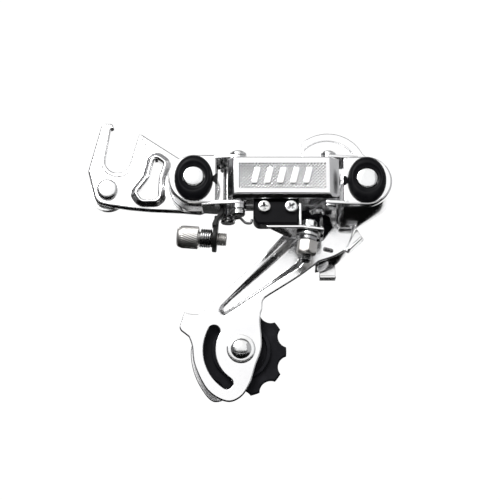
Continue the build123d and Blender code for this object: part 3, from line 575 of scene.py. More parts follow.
bm = turned(bmesh.new(), facing, hanger_hole, [
    (0, -6.6), (3.6, -6.55), (4.5, -6.4), (4.95, -6.0), (5.1, -5.4), (5.1, -4.0), (2.95, -4.0), (2.95, 3.8),
    (2.6, 4.2), (0, 4.2),
])
piece("hanger_bolt_turned", bm, "hanger", "zinc_hardware", ["hanger_bolt"])

# ---- pivot housings
housing_front, cap_front = -21.0, -25.4
shaft_hole, pin_hole, arm_end = 5.05, 2.54, 4.0
arm_levels = ((-4.9, -3.3), (-28.0, -26.2))


def housing_outline(centre, edge_x, grow):
    """Round on the outer side, square towards the links."""
    radius = 12.2 + grow
    way = 1 if edge_x > centre[0] else -1
    bow = arc(centre, radius, 90, 270) if way > 0 else arc(centre, radius, -90, 90)
    low, high = centre[1] - radius, centre[1] + radius
    square = [(edge_x + grow * way, low, 0.8), (edge_x + grow * way, high, 0.8)]
    return rounded([*bow, *(square if way > 0 else square[::-1])])


def pin_arm(bm, near_pin, far_pin, root_x, low, high):
    """The flat arm from a housing to its two link pins."""
    way = 1 if root_x > near_pin[0] else -1
    root = [(root_x, -20.2), (root_x + 5 * way, -20.2), (root_x + 5 * way, -6.0), (root_x, -6.0)]
    outline = hull(circle(near_pin, arm_end, 10), circle(far_pin, arm_end, 10), root)
    holes = [(circle(p, pin_hole, 12), [(0, low), (0, high)]) for p in (near_pin, far_pin)]
    stack(bm, lying, outline, edge_round(low, high, 0.35, 3), holes)


bm = bmesh.new()
profile = [
    (0.3, -4.3), (0, -4.6), (0, -8.1), (0.3, -8.4), (1.3, -8.4), (1.3, -16.6), (0.5, -16.6), (0.2, -16.9),
    (0.2, -20.1), (0.28, -20.5), (0.5, -20.8), (1.1, housing_front),
]
upper_hole = (circle(upper, shaft_hole), [(0, -4.3), (0, housing_front)])
stack(bm, facing, housing_outline(upper, 49.2, 0.2), profile, [upper_hole])
for low, high in arm_levels:
    pin_arm(bm, outer_pin, inner_pin, 47.0, low, high)
piece("upper_housing", bm, "upper_knuckle", "chrome_plate", ["upper_knuckle"])


def ray_to(outline, centre, angle):
    """How far the outline's outermost crossing lies from centre, along a direction."""
    way = Vector((math.cos(angle), math.sin(angle)))
    best = 0.0
    for a, b in zip(outline, outline[1:] + outline[:1]):
        start, run = Vector(a) - Vector(centre), Vector(b) - Vector(a)
        across = way.x * run.y - way.y * run.x
        if abs(across) > 1e-9:
            t = (start.x * run.y - start.y * run.x) / across
            share = (start.x * way.y - start.y * way.x) / across
            if t > 0 and -1e-6 <= share <= 1 + 1e-6:
                best = max(best, t)
    return best


bm = bmesh.new()
back_outline = hull(
    circle(lower, 13.38, 5),
    rounded([(106.9, -34.2, 3.4), (119.5, -34.2, 3.4), (119.5, -18.6, 3.4), (106.9, -18.6, 3.4)]),
)
front_outline = housing_outline(lower, 109.9, 0.0)
# The rear of the housing swells in one smooth bowl from the front plate to the back rim
bowl_front, bowl_depth, bowl_steps, inner_end, rear_end = -16.6, 13.2, 12, -17.4, 0.5
bowl = [(0.0, inner_end, 1.0)]
bowl += [(k / bowl_steps, bowl_front + bowl_depth * k / bowl_steps, 0.0) for k in range(bowl_steps + 1)]
bowl += [(1.0, -0.7, 0.0), (1.0, 0.15, 0.35), (1.0, rear_end, 1.2)]
spokes = full_turn(120)
rows = []
for share, depth, inset in bowl:
    row = []
    for a in spokes:
        near, far = ray_to(front_outline, lower, a), ray_to(back_outline, lower, a)
        r = near + (far - near) * math.sin(share * math.pi / 2) - inset - 0.5 * (1 - share)
        row.append(bm.verts.new(facing(*polar(lower, r, a), depth)))
    rows.append(row)
hole = [
    [bm.verts.new(facing(*polar(lower, shaft_hole, a), depth)) for a in spokes]
    for depth in (rear_end, inner_end)
]
skin(bm, rows + hole + [rows[0]])
profile = [(0.4, bowl_front), (0.1, -16.9), (0, -20.1), (0.08, -20.5), (0.3, -20.8), (0.9, housing_front)]
lower_hole = (circle(lower, shaft_hole), [(0, bowl_front), (0, housing_front)])
stack(bm, facing, front_outline, profile, [lower_hole])
for low, high in arm_levels:
    pin_arm(bm, far_outer_pin, far_inner_pin, 112.0, low, high)
piece("lower_housing", bm, "lower_knuckle", "chrome_plate", ["lower_knuckle"])

cap_narrow, cap_tall, cap_mouth = 0.13, 0.06, 5.6
for centre, name, body in ((upper, "upper", "upper_knuckle"), (lower, "lower", "lower_knuckle")):
    bm = bmesh.new()
    dome = arc((7.4, cap_front + 3.2), 3.2, -90, 0, 9)
    turned(bm, facing, centre, [
        (5.3, housing_front), (5.3, cap_front + 0.75), (5.7, cap_front + 0.7), (6.6, cap_front + 0.45),
        (7.0, cap_front + 0.1), *dome, (10.7, housing_front),
    ], 96)
    for v in bm.verts:
        # The cap is a little taller than it is wide, outside its round mouth
        spread = ease((math.hypot(v.co.x - centre[0], v.co.z - centre[1]) - cap_mouth) / 4)
        v.co.x = centre[0] + (v.co.x - centre[0]) * (1 - cap_narrow * spread)
        v.co.z = centre[1] + (v.co.z - centre[1]) * (1 + cap_tall * spread)
    way = 1 if centre == upper else -1
    edge = 49.3 if centre == upper else 109.8
    # A black block at the housing's square edge is painted shade: it darkens the gap towards the link, and it
    # is not a part of the knuckle
    painted_shade_block = rounded([
        (edge, centre[1] + 2.9, 0.3), (edge, centre[1] - 3.1, 0.3),
        (edge - 2.4 * way, centre[1] - 1.0, 0.5), (edge - 2.4 * way, centre[1] + 0.8, 0.5),
    ])
    stack(bm, facing, painted_shade_block, [(0, housing_front + 2.4), (0, housing_front - 0.25), (0.2, housing_front - 0.45)])
    piece(name + "_cap_and_painted_shade_block", bm, body, "black_plastic", [name + "_cap"])
for centre, name, node, body, back in (
    (upper, "upper_bolt_turned", "upper_bolt", "hanger", 3.9),
    (lower, "cage_shaft_turned", "cage_shaft", "cage", 2.8),
):
    bm = bmesh.new()
    front = cap_front + 0.6
    tail = [(4.6, back), (0, back)]
    if node == "cage_shaft":
        tail = [(5.0, back), (6.2, back), (6.2, back + 0.8), (6.0, back + 1.0), (0, back + 1.0)]
    turned(bm, facing, centre, [
        (0, front + 0.08), (0.8, front + 0.05), (1.8, front), (4.2, front + 0.05), (4.75, front + 0.25),
        (5.0, front + 0.8), (5.0, back - 0.3), *tail,
    ], 96)
    piece(name, bm, body, "zinc_hardware", [node])

# ---- link pins


def domed_head(radius, low, high):
    """The riveted head above the arm: a short wall and a low dome."""
    wall = low + 1.1
    angles = [math.radians(t) for t in range(80, -1, -10)]
    top = [(radius * math.cos(a), wall + (high - low - 1.1) * math.sin(a)) for a in angles]
    return [(0, high), *top, (radius, low)]


# Each row: node, place, body, head radius, head top, and the tail below the arm
short_tail = [(3.4, -28.0), (3.4, -28.7), (2.8, -29.3)]
pin_table = (
    ("upper_outer_pin", outer_pin, "upper_knuckle", 4.2, -0.3, [
        (3.9, -28.0), (3.9, -29.9), (3.6, -30.2), (3.0, -30.3), (3.0, -30.6), (3.35, -30.7), (3.5, -30.9),
        (3.5, -32.5), (3.0, -33.0),
    ]),
    ("upper_inner_pin", inner_pin, "upper_knuckle", 3.8, -1.2, [
        (2.5, -32.1), (3.5, -32.1), (3.6, -32.3), (3.6, -33.0), (3.2, -33.4),
    ]),
    ("lower_outer_pin", far_outer_pin, "lower_knuckle", 3.8, -0.3, short_tail),
    ("lower_inner_pin", far_inner_pin, "lower_knuckle", 3.6, -1.2, short_tail),
)
for node, centre, body, head_r, head_top, tail in pin_table:
    bm = bmesh.new()
    head = domed_head(head_r, -3.3, head_top)
    profile = [*head, (2.5, -3.3), (2.5, tail[0][1]), *tail, (0, tail[-1][1])]
    turned(bm, lying, centre, profile, 48)
    piece(node + "_riveted", bm, body, "zinc_hardware", [node])

# ---- outer link: a folded channel
link_front, link_top, link_low = -25.0, -5.2, -25.9
sheet_t = 1.5


def link_face_y(x):
    """The face is flat in the middle and falls back at both ends."""
    left = ease((57.9 - x) / 3.6) * 0.5 + max(0, min(1, (57.2 - x) / 2.9)) * 0.5
    right = ease((x - 102.6) / 5.0) * 0.5 + max(0, min(1, (x - 103.4) / 4.2)) * 0.5
    return link_front + 3.1 * left + 3.1 * right


def flange_back_y(x):
    """The flanges end in round ears about the two pins."""
    for centre_x, outer_side in ((outer_pin[0], x < outer_pin[0]), (far_outer_pin[0], x > far_outer_pin[0])):
        if outer_side:
            return outer_pin[1] + math.sqrt(max(0.0, 4.4**2 - (x - centre_x) ** 2))
    return -14.1


def channel_section(x):
    """One closed (y, z) section of the folded sheet."""
    front, back = link_face_y(x), flange_back_y(x)
    middle = (link_top + link_low) / 2
    half = (link_top - link_low) / 2
    bend = [math.radians(t) for t in range(0, 91, 15)]
    outside = [
        (back, half), *[(front + 1.0 - math.sin(a), half - 1.0 + math.cos(a)) for a in bend],
        (front, -half + 2.6), (front + 0.1, -half + 2.1), (front + 0.35, -half + 1.5),
        (front + 0.8, -half + 0.7), (front + 1.35, -half + 0.2), (front + 2.0, -half), (back, -half),
    ]
    skin_y, floor_z, roof_z = front + sheet_t, -half + sheet_t, half - sheet_t
    inner = [
        (back, floor_z), (skin_y + 1.2, floor_z), (skin_y + 0.2, floor_z + 1.2),
        (skin_y, roof_z - 0.4), (skin_y + 0.4, roof_z), (back, roof_z),
    ]
    return [(y, middle + z) for y, z in outside + inner]


bm = bmesh.new()
stations = [
    54.3, 54.9, 55.3, 56.0, 56.7, 57.2, 57.7, 58.2, 59.3, 80,
    102.2, 102.8, 103.4, 104.0, 105.0, 106.0, 106.8, 107.15, 107.6,
]
rows = [[bm.verts.new(sideways(y, z, x)) for y, z in channel_section(x)] for x in stations]
skin(bm, rows)
bm.faces.new(rows[0])
bm.faces.new(rows[-1])
piece("outer_link_folded", bm, "outer_link", "chrome_plate", ["outer_link"])

# The fine knurled field, a shallow relief in the face
field_low, field_high = (59.2, -21.9), (101.6, -7.9)
bm = bmesh.new()
pitch, knurl_height, knurl_base, rim_depth = 0.82, 0.225, 0.04, 0.3
columns = round((field_high[0] - field_low[0]) / pitch)
lines = round((field_high[1] - field_low[1]) / pitch)
grid = []
for j in range(lines + 1):
    row = []
    for i in range(columns + 1):
        on_edge = min(i, columns - i, j, lines - j) == 0
        lift = -rim_depth if on_edge else knurl_base + knurl_height * ((i + j) % 2)
        row.append(bm.verts.new((field_low[0] + i * pitch, link_front - lift, field_low[1] + j * pitch)))
    grid.append(row)
for j in range(lines):
    for i in range(columns):
        # Each cell is split between its two low corners, so every raised point is a small pyramid
        cell = [grid[j][i], grid[j][i + 1], grid[j + 1][i + 1], grid[j + 1][i]]
        if (i + j) % 2:
            cell = cell[1:] + cell[:1]
        bm.faces.new((cell[0], cell[1], cell[2]))
        bm.faces.new((cell[0], cell[2], cell[3]))
rim = [*grid[0], *[r[-1] for r in grid[1:]], *reversed(grid[-1][:-1]), *[r[0] for r in reversed(grid[1:-1])]]
bm.faces.new(rim)
# Five plain slanted bars stand proud of the knurl
bar_centre, bar_pitch, bar_lean, bar_front = (68.0, -14.9), 6.2, 0.25, -25.65
corners_of_bar = [(-1.5, -4.1), (1.5, -4.1), (1.5, 4.1), (-1.5, 4.1)]
for k in range(5):
    middle_u = bar_centre[0] + bar_pitch * k
    bar = rounded([(middle_u + u + bar_lean * v, bar_centre[1] + v, 0.9) for u, v in corners_of_bar])
    stack(bm, facing, bar, edge_round(link_front + 0.2, bar_front, 0.22, 3))
piece("link_face_relief", bm, "outer_link", "chrome_plate", sharp=20)

# ---- inner link
bm = bmesh.new()
link_outline = hull(circle(inner_pin, 4.0, 8), circle(far_inner_pin, 4.0, 8))
pin_holes = [circle(p, 2.56, 12) for p in (inner_pin, far_inner_pin)]
for low, high in ((-25.9, -24.4), (-6.7, -5.2)):
    holes = [(h, [(0, low), (0, high)]) for h in pin_holes]
    stack(bm, lying, link_outline, edge_round(low, high, 0.3, 2), holes)
web = rounded([(58.6, -25.0, 1), (93.6, -25.0, 1), (93.6, -6.2, 1), (58.6, -6.2, 1)])
web_hole = rounded([(67.2, -19.0, 3.4), (85.2, -19.0, 3.4), (85.2, -12.0, 3.4), (67.2, -12.0, 3.4)])
stack(bm, facing, web, [(0, -3.25), (0, -4.65)], [(web_hole, edge_round(-3.25, -4.65, 0.3, 2))])
piece("inner_link_folded", bm, "inner_link", "chrome_plate", ["inner_link"])

# ---- limit block and screws
bm = bmesh.new()
block = rounded([(66.6, -25.95, 0.5), (88.2, -25.95, 0.5), (88.2, -37.85, 0.8), (66.6, -37.85, 3.4)])
screw_spots = ((71.8, -29.5), (84.6, -29.5))
stack(bm, facing, block, [(0.4, -12.0), (0, -12.5), (0, -19.9), (0.25, -20.6), (0.9, -21.0)], [
    (circle(spot, 1.52, 12), [(0, -12.0), (0, -20.6), (0.5, -21.0)]) for spot in screw_spots
])
piece("limit_block_moulded", bm, "outer_link", "black_plastic", ["limit_block"])


def cross_depth(u, v, turn):
    """Depth of a cross recess: deep in the middle, shallower along the arms."""
    a = math.radians(turn)
    across, up = abs(u * math.cos(a) + v * math.sin(a)), abs(v * math.cos(a) - u * math.sin(a))
    arm = min(across, up)
    reach = max(across, up)
    return (1 - ease((arm - 0.34) / 0.22)) * (1 - ease((reach - 1.75) / 0.3)) * (1.5 - 0.5 * reach)


def screw_head(bm, place, centre, radius, face, back, turn, rise=0.25):
    """A pan head with a cross recess, drawn as rings of points."""
    sign = 1 if face > back else -1
    rings, flat_share = 22, 0.86
    angles = full_turn(72)
    rows = []
    for k in range(rings + 1):
        share = k / rings
        dome = rise * (1 - share * share)
        row = []
        for a in angles:
            u, v = polar((0, 0), radius * share * flat_share, a)
            depth = face - sign * (rise - dome) - sign * cross_depth(u, v, turn)
            row.append(bm.verts.new(place(centre[0] + u, centre[1] + v, depth)))
        rows.append(row)
    wall = ((0.93, rise + 0.12), (0.98, rise + 0.34), (1.0, rise + 0.65), (1.0, abs(face - back)))
    for share, drop in wall:
        depth = face - sign * drop
        rows.append([bm.verts.new(place(*polar(centre, radius * share, a), depth)) for a in angles])
    hub_at = place(*centre, face - sign * cross_depth(0, 0, turn))
    bmesh.ops.pointmerge(bm, verts=rows[0], merge_co=hub_at)
    hub = [v for v in bm.verts if (v.co - hub_at).length < 1e-4][0]
    for i in range(len(angles)):
        bm.faces.new((hub, rows[1][i - 1], rows[1][i]))
    skin(bm, rows[1:])
    bm.faces.new(rows[-1])


for name, spot, turn in (("high", screw_spots[0], 8), ("low", screw_spots[1], 38)):
    node = "limit_screw_" + name
    bm = bmesh.new()
    screw_head(bm, facing, spot, 3.1, -23.1, -21.1, turn)
    thread = [(1.5 - 0.16 * (i % 2), -21.2 + 0.35 * i) for i in range(43)]
    turned(bm, facing, spot, [(0, -21.2), *thread, (0, -6.4)], 28)
    piece(node + "_threaded", bm, name + "_screw", "zinc_hardware", [node])

# ---- cable arm: foot, two cheeks
anchor_lean = math.radians(7.0)
bolt_down = (-math.sin(anchor_lean), 0, -math.cos(anchor_lean))
bolt_foot = (93.4, -14.0, -37.9)
on_bolt = along(bolt_foot, bolt_down)
bm = bmesh.new()
foot = rounded([
    (72.8, -39.4, 0.5), (72.8, -37.9, 0.5), (89.6, -37.9, 4), (100.2, -39.24, 0.5), (100.2, -40.74, 0.5),
    (89.5, -39.4, 4),
])
stack(bm, facing, foot, edge_round(-5.0, -20.0, 0.4, 3))
for v in bm.verts:
    # The left end of the foot is cut on a slant
    v.co.x += max(0, 80 - v.co.x) / 7.2 * (v.co.y + 20) * 0.67
near_cheek = rounded([
    (-20.0, -38.2, 0.4), (-20.0, -25.95, 1.2), (-14.8, -25.95, 1.2), (-10.0, -33.0, 2), (-8.0, -38.2, 0.4),
])
stack(bm, sideways, near_cheek, edge_round(88.3, 89.6, 0.3, 3))
far_cheek = rounded([
    (-14.2, -40.2, 0.8), (-12.0, -33.4, 2), (-9.0, -30.6, 1.5), (-5.0, -30.6, 0.6), (-5.0, -41.6, 0.6),
    (-11.0, -41.6, 1.0),
])
stack(bm, sideways, far_cheek, edge_round(98.7, 100.2, 0.3, 3))
piece("cable_arm_folded", bm, "outer_link", "chrome_plate", ["cable_arm"])

# ---- cable anchor, down its leaning bolt


def hexagon(size, turn=0.0):
    """Keeps a turned radius inside a hexagon of that corner radius, with its corners a little eased."""
    def lobe(angle, radius):
        a = (angle + turn) % (math.pi / 3) - math.pi / 6
        flat = size * math.cos(math.pi / 6) / math.cos(a)
        return min(radius, min(flat, size * 0.985))
    return lobe


bm = bmesh.new()
bolt_head = [(0, -3.75), (3.0, -3.7), (3.5, -3.3), (3.6, -2.9), (3.6, -0.75), (0, -0.75)]
turned(bm, on_bolt, (0, 0), bolt_head, 72, hexagon(3.6))
thread = [(2.5 - 0.2 * (i % 2), -0.74 + 0.4 * i) for i in range(43)]
turned(bm, on_bolt, (0, 0), [(0, -0.76), *thread, (1.9, 16.9), (0, 16.9)], 40)
piece("anchor_bolt_threaded", bm, "outer_link", "zinc_hardware", ["anchor_bolt"])
bm = bmesh.new()
washer = [(2.6, -0.73), (3.5, -0.73), (3.6, -0.6), (3.6, -0.1), (3.5, -0.03), (2.6, -0.03)]
turned(bm, on_bolt, (0, 0), washer, 48)
piece("anchor_washer_turned", bm, "outer_link", "zinc_hardware", ["anchor_washer"])
bm = bmesh.new()
clamp = hull(circle((0, 0), 4.7, 10), [(-5.8, -2.3), (-5.8, 2.3)])
stack(bm, on_bolt, clamp, edge_round(2.4, 4.4, 0.35, 3), [(circle((0, 0), 2.6, 12), [(0, 2.4), (0, 4.4)])])
piece("cable_clamp_pressed", bm, "outer_link", "zinc_hardware", ["cable_clamp_plate"])
bm = bmesh.new()
split_ring = [*arc((0, 0), 4.2, 8, 352, 8), *arc((0, 0), 2.6, 352, 8, 8)]
stack(bm, on_bolt, split_ring, edge_round(4.45, 6.5, 0.3, 2))
piece("lock_washer_split", bm, "outer_link", "spring_steel", ["lock_washer"])
bm = turned(bmesh.new(), on_bolt, (0, 0), [
    (2.6, 6.6), (4.2, 6.62), (4.8, 6.8), (5.05, 7.1), (5.2, 7.7), (5.2, 11.7), (4.9, 12.4), (4.4, 12.9),
    (3.6, 13.18), (2.6, 13.2),
], 96, hexagon(5.2, 0.35))
piece("anchor_nut_hex", bm, "anchor_nut", "satin_nickel", ["anchor_nut"], sharp=40)

# ---- barrel adjuster
barrel_rise = math.radians(4.0)
barrel_way = (-math.cos(barrel_rise), 0, math.sin(barrel_rise))
on_barrel = along((47.2, -12.0, -42.6), barrel_way)
bm = bmesh.new()
knurls, knurl_steps, ridge_height, ridge_slant = 34, 6, 0.27, 0.32
rows = []
collar = [(3.4, 6.6), (4.8, 6.65), (5.15, 6.9)]
body = [(5.22, 7.1 + 0.5 * k) for k in range(16)]
end = [
    (5.25, 15.0), (5.15, 15.6), (4.9, 16.3), (4.4, 16.9), (3.7, 17.2), (2.75, 17.2), (2.6, 17.0), (2.6, 8.2),
]
for radius, depth in collar + body + end:
    row = []
    for a in full_turn(knurls * knurl_steps):
        ridge = 0
        if 7.0 < depth < 14.9:
            phase = (a * knurls / (2 * math.pi) + (depth - 7) * ridge_slant) % 1
            ridge = ridge_height * (1 - abs(2 * phase - 1))
        row.append(bm.verts.new(on_barrel(*polar((0, 0), radius + ridge, a), depth)))
    rows.append(row)
skin(bm, rows)
bm.faces.new(rows[0])
bm.faces.new(rows[-1])
stud_thread = [(3.12 - 0.26 * (i % 2), -6.3 + 0.42 * i) for i in range(31)]
turned(bm, on_barrel, (0, 0), [(1.3, -6.6), (2.8, -6.6), *stud_thread, (3.1, 6.8), (1.3, 6.8)], 48)
piece("adjuster_barrel_knurled", bm, "barrel", "satin_nickel", ["adjuster_barrel"], sharp=50)

bm = wire(bmesh.new(), helix(on_barrel, 4.1, 0.6, 5.9, 5.1, 40), 0.5, 12)
piece("adjuster_spring_coil", bm, "upper_knuckle", "spring_steel", ["adjuster_spring"])

bm = bmesh.new()
eye = hull(circle((0, 0), 6.4, 8), [(-11.6, 4.6), (-11.6, -0.4)])
if on_barrel(1, 0, 0).z > on_barrel(0, 0, 0).z:
    eye = [(-u, v) for u, v in eye]
stack(bm, on_barrel, eye, edge_round(-2.2, 0, 0.5, 3), [(circle((0, 0), 3.25, 12), [(0, -2.2), (0, 0)])])
strap_outer = flowing([(47.0, -36.4), (47.7, -34.6), (49.0, -32.6), (50.4, -31.0)])
strap_inner = flowing([(52.6, -31.4), (51.2, -32.9), (49.9, -34.9), (49.3, -37.4)])
strap = rounded([
    (47.0, -37.6, 0.3), *strap_outer, (50.5, -28.05, 0.3),
    (52.6, -28.05, 0.3), *strap_inner, (49.3, -37.6, 0.3),
])
stack(bm, facing, strap, edge_round(-12.2, -17.0, 0.5, 3))
piece("adjuster_bracket_bent", bm, "upper_knuckle", "black_oxide", ["adjuster_bracket"])

bm = bmesh.new()
coil = helix(lambda u, v, d: Vector((inner_pin[0] + u, inner_pin[1] + v, d)), 3.5, -31.3, -28.9, 1.6, 0)
hook = flowing([(60.4, -31.6), (62.8, -34.0), (65.4, -34.2), (66.0, -32.6)])
run = [*reversed(coil), (57.9, -8.2, -31.35), (57.9, -8.9, -31.4), *[(x, -10.4, z) for x, z in hook]]
wire(bm, run, 0.65, 12)
piece("return_spring_wire", bm, "upper_knuckle", "spring_steel", ["return_spring"])

# ---- cage


def arc_through(start, middle, end, step=6):
    """Points on the circle through three points, from start to end."""
    (ax, ay), (bx, by), (cx, cy) = start, middle, end
    d = 2 * (ax * (by - cy) + bx * (cy - ay) + cx * (ay - by))
    a2, b2, c2 = ax * ax + ay * ay, bx * bx + by * by, cx * cx + cy * cy
    ux = (a2 * (by - cy) + b2 * (cy - ay) + c2 * (ay - by)) / d
    uy = (a2 * (cx - bx) + b2 * (ax - cx) + c2 * (bx - ax)) / d
    angle = [math.degrees(math.atan2(y - uy, x - ux)) for x, y in (start, middle, end)]
    turn, via = (angle[2] - angle[0]) % 360, (angle[1] - angle[0]) % 360
    if via > turn:
        turn -= 360
    return arc((ux, uy), math.hypot(ax - ux, ay - uy), angle[0], angle[0] + turn, step)


cage_outline = tidy_outline([
    *arc_through((90.8, 11.2), (108.3, 15.6), (121.4, 5.0), 4),
    *arc_through((121.4, 5.0), (130.6, -9.0), (126.6, -27.0)),
    *arc_through((126.6, -27.0), (118.6, -31.0), (115.8, -34.6)),
    *flowing([(115.8, -34.6), (112.6, -43.0), (106.8, -47.3), (98.6, -50.2)]),
    *flowing([(98.6, -50.2), (89.1, -57.5), (74.0, -67.2)]),
    *arc_through((73.2, -67.8), (71.6, -69.4), (71.1, -71.6), 12),
    *flowing([(71.0, -74.0), (70.0, -79.0), (70.7, -92.0), (67.6, -102.0), (64.9, -110.6), (60.6, -116.9),
              (53.8, -119.0), (44.8, -113.6), (38.6, -101.7), (37.2, -92.2), (35.6, -87.6)]),
    (32.0, -84.8), *arc_through((31.6, -84.2), (31.2, -83.4), (31.3, -82.4), 20), (33.2, -76.0),
    *arc_through((33.4, -75.6), (33.9, -75.4), (34.6, -75.7), 20),
    *flowing([(35.6, -76.1), (40.4, -76.4), (43.4, -74.6), (48.6, -69.2), (59.7, -58.7), (70.8, -48.3),
              (80.4, -37.6)]),
    *arc_through((80.4, -37.6), (82.6, -36.4), (85.2, -36.8)),
    (96.0, -40.6), (100.4, -39.2), (105.4, -32.8), (104.0, -27.6), (96.0, -22.6), (90.0, -12.0),
])


def curved_slot(half):
    """The window that follows the tension wheel: two arcs with round ends."""
    middle, radius, start, end = (65.0, -94.0), 19.5, 152, 236
    start_cap, end_cap = (polar(middle, radius, math.radians(angle)) for angle in (start, end))
    return [
        *arc(middle, radius + half, start, end), *arc(end_cap, half, end, end + 180, 20)[1:-1],
        *arc(middle, radius - half, end, start), *arc(start_cap, half, start - 180, start, 20)[1:-1],
    ]


wheel_hole = 2.52


def wheel_holes(profile):
    """The two wheel bolts' holes, which both plates have."""
    return [(circle(centre, wheel_hole, 12), profile) for centre in (tension, guide)]


# The valley narrows towards the tension wheel and runs out under the cable arm's foot at its top
valley_upper = [(49.9, -75.6), (50.3, -73.6), (51.5, -71.6), (88.5, -33.2)]
valley_lower = [
    (49.9, -75.6), (51.0, -77.0), (52.6, -77.7), (54.0, -77.3), (89.4, -53.2), (93.4, -48.0), (98.4, -39.0),
]
valley = valley_upper + valley_lower[::-1]
rim_arc = arc_through((91.4, 6.6), (99.9, 11.6), (115.8, 5.5), 4)
cage_front, cage_back = 1.0, 2.8
# Tabs that overlap a plate lie a hair below its faces, so that no two faces share a plane
sunk = 0.02
bm = bmesh.new()
through = edge_round(cage_back, cage_front, 0.2, 2)
small_window = rounded([(100.6, -44.7, 0.8), (105.2, -45.9, 0.8), (105.6, -44.2, 0.8), (101.0, -43.0, 0.8)])
stack(bm, facing, cage_outline, edge_round(cage_back, cage_front, 0.65), [
    *wheel_holes(through), (circle(lower, 5.0), through),
    (curved_slot(2.9), edge_round(cage_back, cage_front, 0.4)), (small_window, through),
])
cut_up(bm, (49, 0, -79), (100, 0, -33), 0.9)
cut_beside(bm, valley_lower[3], valley_lower[4], [0.02 + 0.4 * k for k in range(9)], (49, -79), (95, -48))
cut_beside(bm, valley_upper[2], valley_upper[3], [-0.02 - 0.5 * k for k in range(10)], (49, -79), (92, -36))
valley_depth, ledge_lean, ledge_rise = 1.7, 0.24, 3.2
for v in bm.verts:
    x, z = v.co.x, v.co.z
    if 48 < x < 99 and -79 < z < -33 and inside(valley, x, z):
        wide = 1.2 + 3.4 * ease((x - 50) / 36)
        upper_side = ease(distance_to(valley_upper, x, z) / wide)
        lower_side = ease(distance_to(valley_lower, x, z) / 3.2)
        v.co.y += valley_depth * min(upper_side, lower_side)
    # The upper edge of the arm leans out towards the foot
    above = (z + 48.3) - (x - 70.8) * 1.02
    ledge = ease((x - 66) / 8) * ease((90 - x) / 6) * ease((z + 62) / 6)
    v.co.y -= ledge_lean * ledge * max(0, min(ledge_rise, above + 3.0))
wire(bm, [facing(u, v, cage_front + 0.05) for u, v in rim_arc], 0.34, 10)
piece("cage_outer_pressed", bm, "cage", "chrome_plate", ["cage_outer_plate"], sharp=58)

bm = bmesh.new()
guard = arc_through((112.4, -41.4), (106.2, -46.9), (97.0, -50.2))
guard += arc_through((96.5, -48.8), (105.2, -45.6), (111.1, -40.5))
stack(bm, facing, guard, edge_round(11.6, 1.9, 0.4, 3))
guard_drop = 3.0
for v in bm.verts:
    # The guard slants down as it runs inboard
    v.co.z -= guard_drop * (v.co.y - 1.8) / 9.8
tab = rounded([(117.2, -33.3, 0.6), (120.8, -39.1, 1.0), (113.2, -46.2, 1.0), (111.4, -44.6, 0.6)])
stack(bm, facing, tab, edge_round(cage_back - sunk, cage_front + sunk, 0.3, 3))
turned_up = rounded([(119.7, -40.1, 0.4), (113.2, -46.2, 0.4), (112.24, -45.18, 0.4), (118.74, -39.1, 0.4)])
stack(bm, facing, turned_up, edge_round(cage_back - 2 * sunk, -5.2, 0.4, 3))
piece("cage_flanges", bm, "cage", "chrome_plate")

inner_front, inner_back = 13.2, 14.8
bm = bmesh.new()
inner_outline = tidy_outline([
    *arc_through((92.6, -2.0), (104.0, 3.0), (115.0, -2.4)),
    *arc_through((115.0, -2.4), (121.0, -14.0), (117.6, -26.0)),
    *flowing([(117.6, -26.0), (112.0, -35.5), (104.0, -42.5), (91.0, -51.5), (70.0, -66.5)]),
    *flowing([(70.0, -66.5), (68.4, -80.0), (68.6, -92.0), (65.6, -102.0), (60.4, -110.6), (54.0, -115.4),
              (47.2, -116.8), (41.8, -111.0), (37.6, -102.0), (36.2, -92.0), (38.4, -84.0)]),
    *flowing([(38.4, -84.0), (47.0, -72.0), (68.0, -51.6), (82.6, -36.0)]),
    *flowing([(82.6, -36.0), (87.4, -26.0), (88.6, -12.0), (92.6, -2.0)]),
])
inner_slot = [*arc((87.1, -43.9), 2.5, -48, 132, 15), *arc((78.9, -51.3), 2.5, 132, 312, 15)]
through = edge_round(inner_back, inner_front, 0.2, 2)
plate_edge = edge_round(inner_back, inner_front, 0.4)
stack(bm, facing, inner_outline, plate_edge, [*wheel_holes(through), (inner_slot, through)])
hanging = rounded([(99.1, -56.3, 0.4), (107.3, -56.3, 0.4), (107.3, -40.3), (99.1, -40.3)])
stack(bm, facing, hanging, edge_round(inner_back - sunk, inner_front + sunk, 0.3, 2))
foot = rounded([(99.1, -56.3, 0.5), (107.3, -56.3, 0.5), (107.3, -54.9, 0.5), (99.1, -54.9, 0.5)])
stack(bm, facing, foot, edge_round(inner_back - 2 * sunk, 9.6, 0.4, 3))
piece("cage_inner_pressed", bm, "cage", "chrome_plate", ["cage_inner_plate"])

# ---- jockey wheels
wheel_mid, teeth, chain_pitch = 8.0, 10, 12.7
tooth_angle = 360 / teeth
pitch_r = chain_pitch / 2 / math.sin(math.pi / teeth)
valley_r, valley_at, tip_r = 5.5, pitch_r + 3.8, 21.8


def tooth_outline(centre):
    """Round valleys for the chain's rollers, with the tips on one circle."""
    cos_half = (tip_r**2 + valley_at**2 - valley_r**2) / (2 * tip_r * valley_at)
    reach = math.degrees(math.acos(cos_half))
    points = []
    for k in range(teeth):
        mid = (k + 0.5) * tooth_angle
        hub = polar(centre, valley_at, math.radians(mid))
        edge = polar(centre, tip_r, math.radians(mid - reach))
        first = math.degrees(math.atan2(edge[1] - hub[1], edge[0] - hub[0]))
        half = (mid + 180 - first) % 360
        points += arc(hub, valley_r, first, first + 2 * half if half < 180 else first - 2 * (360 - half), 12)
        points += arc(centre, tip_r, mid + reach, mid + tooth_angle - reach, 4)[1:-1]
    return tidy_outline(points)


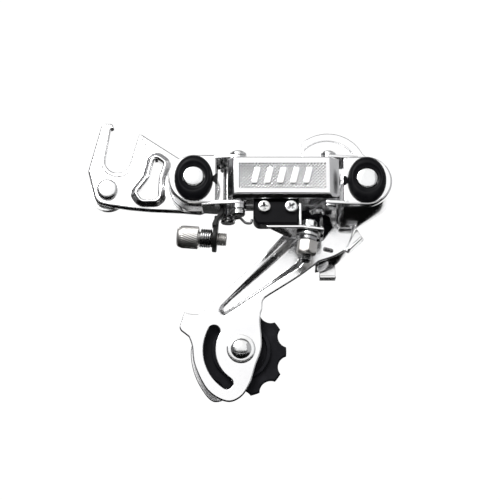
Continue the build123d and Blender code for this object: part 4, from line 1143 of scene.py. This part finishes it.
def jockey_wheel(centre):
    bm = bmesh.new()
    low, high = wheel_mid - 1.4, wheel_mid + 1.4
    bore = [(circle(centre, 4.05, 10), [(0, high), (0, low)])]
    tooth_edge = [
        (0.7, high), (0.25, high - 0.45), (0, high - 0.95), (0, low + 0.95), (0.25, low + 0.45), (0.7, low),
    ]
    stack(bm, facing, tooth_outline(centre), tooth_edge, bore)
    section = [
        (4.05, -3.4), (8.6, -3.4), (8.8, -3.2), (8.9, -1.7), (12.2, -1.7), (12.4, -3.2), (12.6, -3.4),
        (13.9, -3.4), (14.2, -3.1),
    ]
    section += [(r, -d) for r, d in reversed(section)]
    turned(bm, facing, centre, [(r, wheel_mid + d) for r, d in section], 72)
    return bm


for name, centre in (("guide", guide), ("tension", tension)):
    piece(name + "_wheel_moulded", jockey_wheel(centre), name + "_wheel", "pulley_resin", [name + "_pulley"])
    bm = bmesh.new()
    for depth, out in ((wheel_mid - 4.5, -1), (wheel_mid + 4.5, 1)):
        rim = depth - 0.8 * out
        cover = [(4.03, depth), (7.9, depth), (8.3, depth - 0.15 * out), (8.4, rim), (4.03, rim)]
        turned(bm, facing, centre, cover, 56)
    piece(name + "_dust_caps", bm, "cage", "zinc_hardware", [name + "_caps"])

bm = bmesh.new()
angles = [math.radians(t) for t in range(81, -1, -9)]
turned(bm, facing, tension, [
    (0, -1.8), *[(4.9 * math.cos(a), 0.1 - 0.35 - 1.55 * math.sin(a)) for a in angles], (4.95, 0.08),
    (5.5, 0.12), (6.5, 0.14), (6.8, 0.3), (6.9, 0.6), (6.9, 1.0), (2.5, 1.0), (2.5, 15.4), (0, 15.4),
], 96)
piece("tension_bolt_domed", bm, "cage", "zinc_hardware", ["tension_bolt"])
bm = turned(bmesh.new(), facing, guide, [
    (0, 1.1), (2.3, 1.1), (2.5, 1.3), (2.5, 14.8), (4.8, 14.8), (4.8, 16.0), (4.6, 16.5), (4.1, 16.8),
    (2.2, 16.8), (2.2, 15.6), (0, 15.6),
], 60)
piece("guide_bolt_headed", bm, "cage", "zinc_hardware", ["guide_bolt"])
